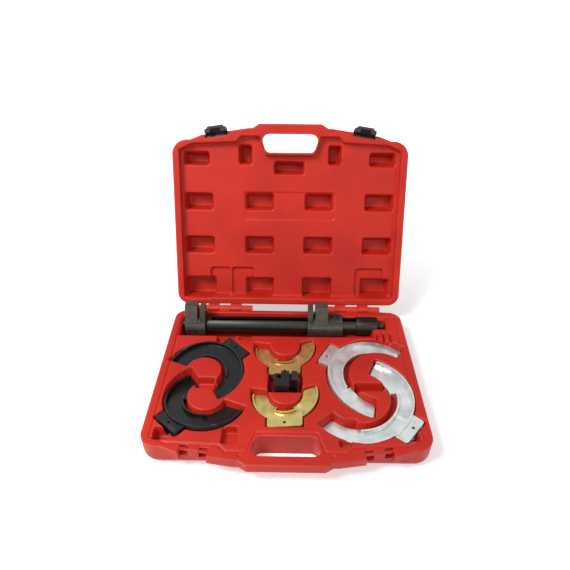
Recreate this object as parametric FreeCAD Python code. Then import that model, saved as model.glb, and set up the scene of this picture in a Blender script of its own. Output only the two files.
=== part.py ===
import FreeCAD, Part
import math
import os

# Internal coil spring compressor with six slip-on yokes and an adapter block,
# lying in its open blow-moulded carrying case.
# Millimetres. +Z is up, +X runs along the hinge, +Y points to the hinge side.
# The origin is the centre of the face the case rests on.

os.makedirs("parts", exist_ok=True)

V = FreeCAD.Vector
X_AXIS = V(1, 0, 0)
Z_AXIS = V(0, 0, 1)

# ------------------------------------------------------------------ carrying case
CASE_WIDTH = 445.0
BODY_DEPTH = 319.0          # back wall to front wall of the full-height part
BASE_HEIGHT = 44.0
LID_HEIGHT = 46.0
BACK_CORNER_R = 22.0
FRONT_CORNER_R = 28.0
SHELL_EDGE_R = 16.0         # rounding between side walls and the closed face
SKIN = 3.0                  # moulded wall thickness
RIM_BAND = 13.0             # flat rim around the tray and the lid panel
RIM_GROOVE_WIDTH = 3.0
RIM_GROOVE_DEPTH = 3.0

# Thin front lip that carries handle and latches. Distances named "front" are
# measured forward from the back edge of the case.
LIP_HEIGHT = 20.0
LIP_EDGE_R = 6.0
LIP_HALF_WIDTH = 191.0
LIP_REACH = 21.5            # lip in front of the full-height part
LIP_BEND_IN = 113.0         # bends of the lip's front edge, from its side ...
LIP_SHOULDER_IN = 79.0
LIP_CORNER_IN = 25.0
LIP_SHOULDER_BACK = 5.0     # ... and behind its foremost line
LIP_CORNER_BACK = 13.0
HANDLE_REACH = 29.5         # handle bar in front of the full-height part
HANDLE_HALF_WIDTH = 71.0
HANDLE_HALF_FRONT = 58.0
HANDLE_EDGE_R = 7.0
HAND_HOLE_START = 22.0      # hand hole, from behind the front wall ...
HAND_HOLE_REACH = 12.0      # ... to in front of it
HAND_HOLE_HALF_BACK = 47.0
HAND_HOLE_HALF_FRONT = 57.0
HAND_HOLE_R = 13.0
DIMPLE_SIDE = 69.0          # small moulded dimples beside the handle
DIMPLE_R = 2.6
DIMPLE_DEPTH = 3.0
PANEL_REACH = 7.0           # middle of the rim band's inner edge, before the front wall
PANEL_HALF_STEP = 94.0      # half width of that stretch
PANEL_STEP = 10.0           # slanted step beside it
PANEL_SHOULDER = 7.0        # inner edge beside the latches, behind the front wall
PANEL_CORNER = 17.0         # where the front corners of the inner edge begin
PANEL_CORNER_IN = 22.0

# ------------------------------------------------------------------ lid recesses
PANEL_DEPTH = 14.0
POCKET_DEPTH = 27.0
POCKET_WIDTH = 59.0
POCKET_DRAFT = 5.0
JAW_RELIEF = 1.5            # room around the jaws in the rim and in the trough

# ------------------------------------------------------------------ hinge
HINGE_BEHIND_EDGE = 9.2     # pin axis behind the back edge
HINGE_BELOW_RIM = 2.5       # pin axis below the rim plane
LID_OPEN_ANGLE = 112.4
HINGE_ZONE_START = 72.0
HINGE_ZONE_END = 184.0
KNUCKLES_PER_ZONE = 5
KNUCKLE_R = 6.5
KNUCKLE_GAP = 0.5
HINGE_PIN_R = 2.0

# ------------------------------------------------------------------ latches
LATCH_CENTRE = 138.0
LATCH_WIDTH = 42.0
LATCH_STEP_REACH = 6.0      # wall behind each latch, in front of the front wall
LATCH_PIVOT_OUT = 1.0       # pin axis in front of that wall
LATCH_PIVOT_HEIGHT = 14.0   # pin axis above the rim plane when closed
LATCH_BARREL_R = 3.5
LATCH_PLATE = 3.5
LATCH_REACH = 22.0
LATCH_CORNER = 6.0          # cut corners of the plate's free end
LATCH_TURN = 8.4            # the latches follow the slanted front edge
LATCH_REST_ANGLE = 38.0     # as the case lies open
LATCH_FULL_ANGLE = 125.0    # range of the joint: as far as a latch swings from closed
LATCH_PIN_R = 1.5
HOOK_OFFSET = 15.0
HOOK_WIDTH = 10.0
HOOK_LENGTH = 7.6
HOOK_ROOM = 1.5             # beside each hook in its notch
CATCH_FLANGE = 4.0          # underside of the catch bar below the rim
CATCH_BAR = 3.2             # its depth from front to back
CATCH_HEIGHT = 14.0

# ------------------------------------------------------------------ compressor
TOOL_FRONT = 31.5           # tool axis in front of the back edge
TOOL_BELOW_RIM = 10.0
TUBE_R = 16.5
TUBE_BORE_R = 12.0
TUBE_LEFT = -198.0
TUBE_RIGHT = 149.7
SLOT_WIDTH = 11.0
SLOT_LEFT = -150.0
JAW_R = 23.0
JAW_BACK = 16.0             # jaw head, behind the tool axis
JAW_TOP = 46.0              # jaw head, above the tool axis
TROUGH_FRONT = 44.0         # front wall of the trough, before the tool axis
TROUGH_DEPTH = 24.0
TROUGH_RIGHT = 165.0
TROUGH_DRAFT = 4.0
BLOCK_LENGTH = 24.0
GROOVE_LENGTH = 4.2
TONGUE_LENGTH = 10.0
TONGUE_DROP = 6.0           # tongue top below the block top
FIXED_JAW_LEFT = -198.0
MOVING_TONGUE_LEFT = 38.5
COLLAR_LENGTH = 28.5
JAW_TRAVEL = 170.0
THREAD_R = 9.0
THREAD_PITCH = 4.0
THREAD_LEFT = -150.0
THREAD_RIGHT = 141.0
NUT_LENGTH = 44.0
CAP_R = 18.5
CAP_LEFT = 133.0
CAP_RIGHT = 174.0
CAP_FLAT = 16.8             # flats of the end cap, from the axis
CAP_CHAMBER_R = 13.0
JOURNAL_R = 7.0
COLLAR_R = 12.8
SPINDLE_COLLAR = 6.0
WASHER = 2.0
BALL_CAGE = 4.0
HEX_ACROSS = 17.0
HEX_END = 188.0
TAIL_R = 5.0
PLUG_LENGTH = 12.0
BOSS_R = 7.75
BOSS_LENGTH = 8.0

# ------------------------------------------------------------------ detents
BALL_R = 3.0
BALL_PROUD = 1.2
BALL_STROKE = 1.0
SPRING_WIRE_R = 0.35
SPRING_TURNS = 4

# ------------------------------------------------------------------ clearances
RUN_FIT = 0.08              # radial gap of turning and sliding fits
PRESS = 0.01                # radial gap left between pressed or screwed pieces
SIDE_GAP = 0.4              # gap between flat neighbours
TRAY_GAP = 3.5              # finger room around each piece in the tray
FLOOR_GAP = 0.2             # between a piece and the floor it lies on
LIFT = 120.0                # how far a piece is lifted out of the tray

RIM_Z = BASE_HEIGHT
BACK_Y = BODY_DEPTH / 2
HALF_WIDTH = CASE_WIDTH / 2
HINGE_Y = BACK_Y + HINGE_BEHIND_EDGE
HINGE_Z = RIM_Z - HINGE_BELOW_RIM
TOOL_Y = BACK_Y - TOOL_FRONT
TOOL_Z = RIM_Z - TOOL_BELOW_RIM
LIP_FRONT = BODY_DEPTH + LIP_REACH
HANDLE_FRONT = BODY_DEPTH + HANDLE_REACH
HAND_HOLE_BACK = BODY_DEPTH - HAND_HOLE_START
HAND_HOLE_FRONT = BODY_DEPTH + HAND_HOLE_REACH
LATCH_NOTCH_FRONT = BODY_DEPTH + LATCH_STEP_REACH
MOVING_JAW_RIGHT = MOVING_TONGUE_LEFT + TONGUE_LENGTH + GROOVE_LENGTH + BLOCK_LENGTH + COLLAR_LENGTH


class Yoke:
    """Sizes of one pair of C-shaped spring yokes, the lug pointing along +u."""

    def __init__(self, outer, inner, mid, mid_angle, shift, arm_left, arm_right,
                 seat, lug_end, lug_width, lug_top, hole_side, lug_start=None):
        self.outer = outer            # outer lip radius
        self.inner = inner            # inner radius of the arms
        self.mid = mid                # inner radius beside the lug
        self.mid_angle = mid_angle    # half angle of that part
        self.shift = shift            # centre of the arms' inner circle
        self.arm_left = arm_left      # angle from lug to arm end
        self.arm_right = arm_right
        self.seat = seat              # seat below the outer lip
        self.lug_end = lug_end
        self.lug_width = lug_width
        self.lug_top = lug_top        # lug top below the outer lip
        self.hole_side = hole_side    # detent hole beside the lug's middle
        self.lug_start = lug_start    # radius from which a raised lug covers the ring


LARGE = Yoke(89.0, 57.0, 62.0, 52.0, (-2.0, -3.0), 107.0, 99.0, 8.0, 106.0, 52.0, 3.0, 5.0)
MEDIUM = Yoke(69.0, 34.0, 38.0, 52.0, (0.0, 0.0), 111.0, 107.0, 8.0, 84.0, 52.0, 3.0, 0.0)
SMALL = Yoke(55.0, 30.0, 34.0, 30.0, (-4.0, 0.0), 108.0, 97.0, 6.0, 65.0, 56.0, 0.0, 0.0, 45.5)
YOKE_THICKNESS = 16.0
YOKE_LIP = 3.0
INNER_LIP_DROP = 2.0
LUG_THICKNESS = 18.0
LUG_POCKET_DEPTH = 17.0
LUG_POCKET_WIDTH = 36.0
LUG_POCKET_GAP = 0.25
DETENT_HOLE_R = 2.5

# Where each yoke lies: sideways, forward, lip below the rim, turn of the lug,
# rise towards the right and rise towards the front. The upper row keeps its place from
# the back edge, as the compressor does, and the lower row keeps its place from the front wall.
RESTING = {
    "yoke_large_upper": (LARGE, 158.3, 169.9, 8.0, 209.0, -8.0, -0.7),
    "yoke_large_lower": (LARGE, 119.8, BODY_DEPTH - 104.1, 5.0, 41.6, 4.6, -0.7),
    "yoke_medium_upper": (MEDIUM, -146.2, 163.3, 9.0, -46.7, 4.0, -12.0),
    "yoke_medium_lower": (MEDIUM, -133.0, BODY_DEPTH - 100.9, 6.0, 132.0, 0.0, 9.0),
    "yoke_small_upper": (SMALL, -4.9, 100.6, 4.0, 90.0, 6.0, 0.0),
    "yoke_small_lower": (SMALL, -3.3, BODY_DEPTH - 107.2, 3.0, 90.0, 6.0, 0.0),
}

# ------------------------------------------------------------------ adapter block
ADAPTER_LEFT = -21.5
ADAPTER_BACK = 174.0
ADAPTER_FRONT = 207.5
ADAPTER_ABOVE_RIM = 12.0
ADAPTER_BELOW_RIM = 22.0
ADAPTER_BLOCK = 24.5
ADAPTER_TONGUE_SET_BACK = 13.0
ADAPTER_GROOVE_DEPTH = 16.0
ADAPTER_STEP = 6.0
ADAPTER_HOLE_R = 4.0


# ================================================================== helpers
def box(x0, x1, y0, y1, z0, z1):
    """Block between two corners."""
    return Part.makeBox(x1 - x0, y1 - y0, z1 - z0, V(x0, y0, z0))


def front_box(x0, x1, back, front, z0, z1):
    """Block whose Y range is given as distances forward from the back edge."""
    return box(x0, x1, BACK_Y - front, BACK_Y - back, z0, z1)


def rod(radius, x0, x1, y, z):
    """Round bar along X."""
    return Part.makeCylinder(radius, x1 - x0, V(x0, y, z), X_AXIS)


def post(radius, x, y, z0, z1):
    """Round bar along Z."""
    return Part.makeCylinder(radius, z1 - z0, V(x, y, z0), Z_AXIS)


def outline(points, z):
    """Closed wire through (x, y, corner radius) points."""
    corners = []
    for i, (x, y, r) in enumerate(points):
        here = V(x, y, z)
        before = points[i - 1]
        after = points[(i + 1) % len(points)]
        to_before = (V(before[0], before[1], z) - here).normalize()
        to_after = (V(after[0], after[1], z) - here).normalize()
        if r <= 0:
            corners.append((here, None, here))
            continue
        half = to_before.getAngle(to_after) / 2
        reach = r / math.tan(half)
        middle = here + (to_before + to_after).normalize() * (r / math.sin(half) - r)
        corners.append((here + to_before * reach, middle, here + to_after * reach))
    edges = []
    for i, (start, middle, stop) in enumerate(corners):
        if middle is not None:
            edges.append(Part.Arc(start, middle, stop).toShape())
        following = corners[(i + 1) % len(corners)][0]
        if stop.distanceToPoint(following) > 1e-6:
            edges.append(Part.makeLine(stop, following))
    return Part.Wire(edges)


def prism(points, z0, z1):
    """Straight prism on an outline."""
    return Part.Face(outline(points, z0)).extrude(V(0, 0, z1 - z0))


def rectangle(x0, x1, back, front, r_back, r_front):
    """Rounded rectangle given by distances forward from the back edge."""
    return [(x0, BACK_Y - front, r_front), (x1, BACK_Y - front, r_front),
            (x1, BACK_Y - back, r_back), (x0, BACK_Y - back, r_back)]


def mirrored(half):
    """Closed outline from its right half, listed from front to back."""
    left = [(-x, y, r) for x, y, r in reversed(half)]
    return half + left


def round_edges(shape, radius, wanted):
    """Fillet the edges for which wanted(edge) holds."""
    chosen = [edge for edge in shape.Edges if wanted(edge)]
    return shape.makeFillet(radius, chosen)


def lies_at(edge, z):
    """True for an edge lying wholly at height z."""
    return abs(edge.BoundBox.ZMin - z) < 1e-3 and abs(edge.BoundBox.ZMax - z) < 1e-3


def join(shapes):
    """One solid from several touching ones."""
    return shapes[0].fuse(shapes[1:]).removeSplitter()


def pocket(x0, x1, back, front, depth, grow, draft=0.0, radius=5.0, top=0.0):
    """Rounded rectangular recess below z = top, its walls leaning in by draft."""
    upper = rectangle(x0 - grow, x1 + grow, back - grow, front + grow, radius + grow, radius + grow)
    lower = rectangle(x0 - grow + draft, x1 + grow - draft, back - grow + draft,
                      front + grow - draft, radius + grow, radius + grow)
    if draft == 0:
        return prism(upper, top - depth - grow, top + 1)
    return Part.makeLoft([outline(upper, top), outline(lower, top - depth - grow)], True, True)


# ================================================================== case halves
# Both halves are drawn with the rim plane at z = 0 and the closed face below.
def case_block(height, inset):
    """Full-height part of one half; inset gives the same block inside the skin."""
    top = 0 - inset
    low = -height + inset
    block = prism(rectangle(-HALF_WIDTH + inset, HALF_WIDTH - inset, inset, BODY_DEPTH - inset,
                            BACK_CORNER_R - inset, FRONT_CORNER_R - inset), low, top)
    return round_edges(block, SHELL_EDGE_R - inset, lambda edge: lies_at(edge, low))


def front_lip():
    """Thin lip in front of the block, with the handle bar."""
    rear = BODY_DEPTH - 30
    foremost = BACK_Y - LIP_FRONT
    half = [(LIP_HALF_WIDTH - LIP_BEND_IN, foremost, 0),
            (LIP_HALF_WIDTH - LIP_SHOULDER_IN, foremost + LIP_SHOULDER_BACK, 0),
            (LIP_HALF_WIDTH - LIP_CORNER_IN, foremost + LIP_CORNER_BACK, 0),
            (LIP_HALF_WIDTH, BACK_Y - BODY_DEPTH + 1, 0), (LIP_HALF_WIDTH, BACK_Y - rear, 0)]
    lip = prism(mirrored(half), -LIP_HEIGHT, 0)
    front_edge = BACK_Y - rear - 2
    lip = round_edges(lip, LIP_EDGE_R,
                      lambda edge: lies_at(edge, -LIP_HEIGHT) and edge.BoundBox.YMax < front_edge - 20)
    bar = prism(mirrored([(HANDLE_HALF_FRONT, BACK_Y - HANDLE_FRONT, 4),
                          (HANDLE_HALF_WIDTH, BACK_Y - LIP_FRONT, 0),
                          (HANDLE_HALF_WIDTH, BACK_Y - HAND_HOLE_FRONT + 8, 0)]), -LIP_HEIGHT, 0)
    bar = round_edges(bar, HANDLE_EDGE_R, lambda edge: lies_at(edge, -LIP_HEIGHT)
                      and edge.BoundBox.YMin < BACK_Y - HANDLE_FRONT + 1)
    return [lip, bar]


def hand_hole(height, grow):
    """Opening behind the handle bar."""
    back = BACK_Y - HAND_HOLE_BACK + grow
    front = BACK_Y - HAND_HOLE_FRONT - grow
    half = [(HAND_HOLE_HALF_FRONT + grow, front, HAND_HOLE_R + grow),
            (HAND_HOLE_HALF_BACK + grow, back, HAND_HOLE_R + grow)]
    return prism(mirrored(half), -height - 1, 1)


def panel_outline(inset):
    """Inner edge of the rim band, going round the hand hole."""
    side = HALF_WIDTH - RIM_BAND - inset
    wall = BACK_Y - BODY_DEPTH + inset
    step = PANEL_HALF_STEP - inset
    half = [(HAND_HOLE_HALF_BACK + 5 + inset, BACK_Y - HAND_HOLE_BACK + 5 + inset, 5),
            (HAND_HOLE_HALF_FRONT + 8 + inset, wall - PANEL_REACH, 4),
            (step, wall - PANEL_REACH, 4),
            (step + PANEL_STEP, wall - PANEL_REACH + PANEL_STEP, 5),
            (side - PANEL_CORNER_IN, wall + PANEL_SHOULDER, 8),
            (side, wall + PANEL_CORNER - inset / 2, 8),
            (side, BACK_Y - RIM_BAND - inset, 12)]
    return mirrored(half)


def along_lip(shape, side):
    """Turn a latch piece, drawn square to the case, onto the slanted front edge."""
    turned = shape.copy()
    turned.rotate(V(side * LATCH_CENTRE, BACK_Y - LATCH_NOTCH_FRONT, 0), Z_AXIS, side * LATCH_TURN)
    return turned


def latch_notches(height):
    """Steps in the front edge in which the latches sit."""
    half = LATCH_WIDTH / 2 + SIDE_GAP
    return [along_lip(front_box(side * LATCH_CENTRE - half, side * LATCH_CENTRE + half, LATCH_NOTCH_FRONT,
                                HANDLE_FRONT, -height - 1, 1), side) for side in (-1, 1)]


def case_half(height, recesses):
    """One double-walled half: outer block and lip, recesses, and the sealed hollow."""
    solid = join([case_block(height, 0)] + front_lip())
    solid = solid.cut([hand_hole(height, 0)] + latch_notches(height) + recesses(0))
    hollow = case_block(height, SKIN).cut([hand_hole(height, SKIN)] + recesses(SKIN))
    return solid.cut(hollow)


# ------------------------------------------------------------------ yoke outlines
def wedge(from_angle, to_angle, reach, z0, z1):
    """Pie slice about the origin between two angles."""
    steps = 8
    points = [(0, 0, 0)]
    for i in range(steps + 1):
        angle = math.radians(from_angle + (to_angle - from_angle) * i / steps)
        points.append((reach * math.cos(angle), reach * math.sin(angle), 0))
    return prism(points, z0, z1)


def yoke_ring(kind, grow, z0, z1):
    """C-shaped ring of a yoke, all sides moved out by grow."""
    ring = post(kind.outer + grow, 0, 0, z0, z1)
    ring = ring.cut(post(kind.inner - grow, kind.shift[0], kind.shift[1], z0 - 1, z1 + 1))
    extra = math.degrees(grow / kind.inner)
    return ring.common(wedge(-kind.arm_right - extra, kind.arm_left + extra, 2 * kind.outer, z0, z1))


def lug_box(kind, grow, z0, z1):
    """Lug of a yoke, all sides moved out by grow."""
    start = min(kind.outer - 8, kind.lug_end - LUG_POCKET_DEPTH - 4)
    half = kind.lug_width / 2 + grow
    block = box(start - grow, kind.lug_end + grow, -half, half, z0, z1)
    end = kind.lug_end + grow
    return round_edges(block, 5, lambda edge: edge.BoundBox.XMin > end - 1e-3
                       and edge.BoundBox.ZLength > 1)


def yoke_place(name, tilted):
    """Placement of a yoke in the tray; the recess uses it without the tilt."""
    kind, side, front, drop, turn, rise_right, rise_front = RESTING[name]
    normal = V(-math.tan(math.radians(rise_right)), math.tan(math.radians(rise_front)), 1)
    turned = FreeCAD.Rotation(Z_AXIS, -turn)
    if tilted:
        turned = FreeCAD.Rotation(Z_AXIS, normal).multiply(turned)
    return FreeCAD.Placement(V(side, BACK_Y - front, RIM_Z - drop), turned)


def yoke_recess(name, grow):
    """Straight-down recess whose floor follows the tilted underside of the yoke."""
    kind = RESTING[name][0]
    reach = 3 * kind.outer
    pieces = []
    for plan, depth in ((yoke_ring(kind, TRAY_GAP + grow, -80, 60), YOKE_THICKNESS),
                        (lug_box(kind, TRAY_GAP + grow, -80, 60), kind.lug_top + LUG_THICKNESS)):
        plan.Placement = yoke_place(name, False)
        above_floor = box(-reach, reach, -reach, reach, -depth - FLOOR_GAP - grow, 2 * reach)
        above_floor.Placement = yoke_place(name, True)
        pieces.append(plan.common(above_floor))
    both = pieces[0].fuse(pieces[1])
    both.translate(V(0, 0, -RIM_Z))
    return both


# ------------------------------------------------------------------ tray recesses
def tool_recess(grow):
    """Trough for the compressor, wide enough for the travelling jaw to run."""
    y = TOOL_Y
    z = -TOOL_BELOW_RIM
    tube = TUBE_R + TRAY_GAP - 1 + grow
    jaw = JAW_R + JAW_RELIEF + grow
    left = FIXED_JAW_LEFT - BOSS_LENGTH - 2 - grow
    stub = HEX_END + TRAY_GAP + grow
    jaw_right = MOVING_JAW_RIGHT + TRAY_GAP + grow
    cap = CAP_R + 1 + grow
    return [rod(TUBE_R + FLOOR_GAP + grow, left, stub, y, z),
            box(left, stub, y - tube, y + TUBE_R + 0.8 + grow, z, 1),
            rod(jaw, left + 5, jaw_right, y, z),
            box(left + 5, jaw_right, y - jaw - 1, y + TUBE_R + 0.8 + grow, z, 1),
            rod(cap, CAP_LEFT - TRAY_GAP - grow, stub, y, z),
            box(CAP_LEFT - TRAY_GAP - grow, stub, y - cap, y + TUBE_R + 0.8 + grow, z, 1),
            pocket(left + grow, TROUGH_RIGHT, TOOL_FRONT, TOOL_FRONT + TROUGH_FRONT, TROUGH_DEPTH, grow,
                   TROUGH_DRAFT)]


def tray_recesses(grow):
    """Everything cut from the tray; grow makes the same shapes larger by the skin."""
    shapes = tool_recess(grow) + [rim_groove(grow)] + catch_notches(grow)
    for name in RESTING:
        shapes.append(yoke_recess(name, grow))
    adapter_right = ADAPTER_LEFT + ADAPTER_BLOCK + GROOVE_LENGTH + TONGUE_LENGTH
    shapes.append(pocket(ADAPTER_LEFT - 12, adapter_right + 10, ADAPTER_BACK - 10, ADAPTER_FRONT + TRAY_GAP,
                         ADAPTER_BELOW_RIM + FLOOR_GAP, grow))
    wall = BODY_DEPTH
    shapes.append(pocket(-205, -178, wall - 38, wall - 13, 20, grow, 3))
    shapes.append(pocket(-100, -74, wall - 40, wall - 7, 14, grow, 3))
    shapes.append(pocket(60, 112, wall - 57, wall - 31, 22, grow, 3))
    shapes.append(pocket(78, 100, wall - 19, wall - 4, 12, grow, 2, 4))
    shapes.append(pocket(184, 204, wall - 36, wall - 16, 16, grow, 3))
    shapes.append(pocket(112, 170, 186, 206, 20, grow, 2))
    shapes.append(pocket(-156, -122, 178, 204, 16, grow, 2))
    shapes.append(pocket(-134, -98, 66, 92, 12, grow, 3))
    shapes.append(pocket(-92, -66, 66, 86, 12, grow, 3))
    for x in (-DIMPLE_SIDE, DIMPLE_SIDE):
        shapes.append(post(DIMPLE_R + grow, x, BACK_Y - HAND_HOLE_FRONT, -DIMPLE_DEPTH - grow, 1))
    for x in (166, 178, 190):
        shapes.append(pocket(x, x + 7, 58, 86, 10, grow, 1, 2))
    return shapes


def rim_groove(grow):
    """Shallow groove that marks the inner edge of the rim band."""
    outer = prism(panel_outline(-grow), -RIM_GROOVE_DEPTH - grow, 1)
    inner = prism(panel_outline(RIM_GROOVE_WIDTH + grow), -RIM_GROOVE_DEPTH - grow - 1, 2)
    return outer.cut(inner)


def catch_notches(grow):
    """Notches in the front wall of the base that take the latch hooks."""
    shapes = []
    wall = LATCH_NOTCH_FRONT
    half = HOOK_WIDTH / 2 + HOOK_ROOM + grow
    for side in (-1, 1):
        for offset in (-HOOK_OFFSET, HOOK_OFFSET):
            x = side * LATCH_CENTRE + offset
            notch = front_box(x - half, x + half, wall - HOOK_LENGTH - 1 - grow, wall + 1,
                              -CATCH_HEIGHT - grow, 1)
            shapes.append(along_lip(notch, side))
    return shapes


def catch_bars():
    """Bars across the notches that the latch hooks grip."""
    shapes = []
    wall = LATCH_NOTCH_FRONT
    half = HOOK_WIDTH / 2 + HOOK_ROOM + 1
    for side in (-1, 1):
        for offset in (-HOOK_OFFSET, HOOK_OFFSET):
            x = side * LATCH_CENTRE + offset
            bar = front_box(x - half, x + half, wall - CATCH_BAR - 1, wall - 1, -CATCH_FLANGE, -1)
            shapes.append(along_lip(bar, side))
    return shapes


# ------------------------------------------------------------------ lid recesses
def lid_recesses(grow):
    """Recessed panel of the lid, the pockets sunk into it and the reliefs for the jaws."""
    panel = prism(panel_outline(-grow), -PANEL_DEPTH - grow, 1)
    shapes = [panel]
    fixed_right = FIXED_JAW_LEFT + BLOCK_LENGTH + GROOVE_LENGTH + TONGUE_LENGTH
    for left, right in ((FIXED_JAW_LEFT, fixed_right), (MOVING_TONGUE_LEFT, MOVING_JAW_RIGHT)):
        room = JAW_RELIEF + 1 + grow
        shapes.append(rod(JAW_R + JAW_RELIEF + grow, left - room, right + room, TOOL_Y, TOOL_BELOW_RIM))

    def sink(centre, width, back, front, depth=POCKET_DEPTH, draft=POCKET_DRAFT):
        shapes.append(pocket(centre - width / 2, centre + width / 2, back, front, depth, grow, draft,
                             6, -PANEL_DEPTH))

    for centre in (-177, -58, 58, 175):
        jaw_column = centre in (-177, 58)
        sink(centre, POCKET_WIDTH, 14, 52, POCKET_DEPTH, 1 if jaw_column else POCKET_DRAFT)
        sink(centre, POCKET_WIDTH, 101, 136)
        sink(centre, POCKET_WIDTH - 2, 187, 221)
    for centre in (-179, 177):
        sink(centre, 51, BODY_DEPTH - 47, BODY_DEPTH - 20)
    for centre in (-85, 86):
        sink(centre, 27, BODY_DEPTH - 45, BODY_DEPTH - 7)
    sink(-1, 60, BODY_DEPTH - 63, BODY_DEPTH - 37)
    sink(0, 179, 169, 223, 2, 0)
    sink(-137, 40, 16, 72, 6, 1)
    sink(-92, 44, 16, 72, 6, 1)
    sink(162, 55, 16, 72, 6, 1)
    return shapes


# ------------------------------------------------------------------ hinge and latch parts
def knuckle_spans(member):
    """X ranges of the knuckles: member 0 is on the base, 1 on the lid."""
    pitch = (HINGE_ZONE_END - HINGE_ZONE_START) / KNUCKLES_PER_ZONE
    spans = []
    for i in range(KNUCKLES_PER_ZONE):
        if i % 2 != member:
            continue
        x = HINGE_ZONE_START + i * pitch
        spans.append((x + KNUCKLE_GAP / 2, x + pitch - KNUCKLE_GAP / 2))
        spans.append((-x - pitch + KNUCKLE_GAP / 2, -x - KNUCKLE_GAP / 2))
    return spans


def base_knuckles():
    """Knuckles and webs behind the base."""
    shapes = []
    for x0, x1 in knuckle_spans(0):
        shapes.append(rod(KNUCKLE_R, x0, x1, HINGE_Y, HINGE_Z))
        shapes.append(box(x0, x1, BACK_Y - SKIN, HINGE_Y, HINGE_Z - KNUCKLE_R, RIM_Z - SIDE_GAP / 2))
    return shapes


def lid_knuckles():
    """Knuckles and webs behind the closed lid."""
    shapes = []
    for x0, x1 in knuckle_spans(1):
        shapes.append(rod(KNUCKLE_R, x0, x1, HINGE_Y, HINGE_Z))
        shapes.append(box(x0, x1, BACK_Y - SKIN, HINGE_Y, RIM_Z + SIDE_GAP / 2, HINGE_Z + KNUCKLE_R))
    return shapes


def stop_fins():
    """Fins on the lid knuckles that meet the back wall when the lid is open."""
    shapes = []
    for x0, x1 in knuckle_spans(1):
        middle = (x0 + x1) / 2
        shapes.append(box(middle - 3, middle + 3, BACK_Y + SIDE_GAP, HINGE_Y + 3, HINGE_Z - 11, HINGE_Z - 4))
    return shapes


def hinge_bores(radius):
    """Pin bores of both hinge zones."""
    return [rod(radius, HINGE_ZONE_START - 2, HINGE_ZONE_END + 2, HINGE_Y, HINGE_Z),
            rod(radius, -HINGE_ZONE_END - 2, -HINGE_ZONE_START + 2, HINGE_Y, HINGE_Z)]


def open_lid(shape):
    """Turn a piece drawn on the closed lid to its open position."""
    turned = shape.copy()
    turned.rotate(V(0, HINGE_Y, HINGE_Z), -X_AXIS, LID_OPEN_ANGLE)
    return turned


PIVOT_Y = BACK_Y - LATCH_NOTCH_FRONT - LATCH_PIVOT_OUT
PIVOT_Z = RIM_Z + LATCH_PIVOT_HEIGHT
LATCH_HALF = LATCH_WIDTH / 2
EAR = 6.0


def latch_ears():
    """Ears beside each latch that hold its pin."""
    shapes = []
    for side in (-1, 1):
        for end in (-1, 1):
            inner = side * LATCH_CENTRE + end * (LATCH_HALF + SIDE_GAP)
            x0, x1 = sorted((inner, inner + end * EAR))
            ear = box(x0, x1, PIVOT_Y - 4, BACK_Y - BODY_DEPTH, PIVOT_Z - 5, PIVOT_Z + 5)
            shapes.append(along_lip(ear, side))
    return shapes


def latch(side):
    """Over-centre plate with two hooks, drawn closed."""
    centre = side * LATCH_CENTRE
    x0 = centre - LATCH_HALF
    x1 = centre + LATCH_HALF
    inner = PIVOT_Y - 0.6
    low = PIVOT_Z - LATCH_REACH
    cut = LATCH_CORNER
    profile = [(x0, PIVOT_Z), (x0, low + cut), (x0 + cut, low),
               (x1 - cut, low), (x1, low + cut), (x1, PIVOT_Z)]
    corners = [V(x, inner - LATCH_PLATE, z) for x, z in profile]
    plate = Part.Face(Part.makePolygon(corners + [corners[0]])).extrude(V(0, LATCH_PLATE, 0))
    shapes = [rod(LATCH_BARREL_R, x0, x1, PIVOT_Y, PIVOT_Z), plate,
              box(x0 + cut, x1 - cut, inner - LATCH_PLATE - 2.5, inner - 1, low, low + 2.5)]
    hook_top = RIM_Z - CATCH_FLANGE - 1
    for offset in (-HOOK_OFFSET, HOOK_OFFSET):
        x = centre + offset
        tip = BACK_Y - LATCH_NOTCH_FRONT + HOOK_LENGTH - 1
        shapes.append(box(x - HOOK_WIDTH / 2, x + HOOK_WIDTH / 2, inner - 1, tip, low, hook_top))
    for step in (-2, -1, 0, 1, 2):
        x = centre + step * 7
        shapes.append(box(x - 1, x + 1, inner - LATCH_PLATE - 1, inner - 1, low + 4, PIVOT_Z - 5))
    body = join(shapes)
    return body.cut(rod(LATCH_PIN_R + RUN_FIT, x0 - 1, x1 + 1, PIVOT_Y, PIVOT_Z))


def open_latch(shape, side):
    """Swing a closed latch out, set it along the lip, then turn it with the lid."""
    turned = shape.copy()
    turned.rotate(V(0, PIVOT_Y, PIVOT_Z), -X_AXIS, LATCH_REST_ANGLE)
    return open_lid(along_lip(turned, side))


# ------------------------------------------------------------------ case assembly
def make_case_base():
    """Lower half with tray, hinge knuckles and catches."""
    body = case_half(BASE_HEIGHT, tray_recesses)
    body = join([body] + catch_bars())
    body.translate(V(0, 0, RIM_Z))
    body = join([body] + base_knuckles())
    return body.cut(hinge_bores(HINGE_PIN_R + PRESS))


def make_case_lid():
    """Upper half, drawn closed and then opened."""
    body = case_half(LID_HEIGHT, lid_recesses)
    body = body.mirror(V(0, 0, 0), Z_AXIS)
    body.translate(V(0, 0, RIM_Z))
    body = join([body] + lid_knuckles() + latch_ears())
    tools = hinge_bores(HINGE_PIN_R + RUN_FIT)
    for side in (-1, 1):
        centre = side * LATCH_CENTRE
        half = LATCH_HALF + SIDE_GAP
        barrel_room = rod(LATCH_BARREL_R + 1.1, centre - half, centre + half, PIVOT_Y, PIVOT_Z)
        tools.append(along_lip(barrel_room, side))
        reach = half + EAR - 1
        pin_bore = rod(LATCH_PIN_R + PRESS, centre - reach, centre + reach, PIVOT_Y, PIVOT_Z)
        tools.append(along_lip(pin_bore, side))
    body = open_lid(body.cut(tools))
    return join([body] + stop_fins()).cut(hinge_bores(HINGE_PIN_R + RUN_FIT))


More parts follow.
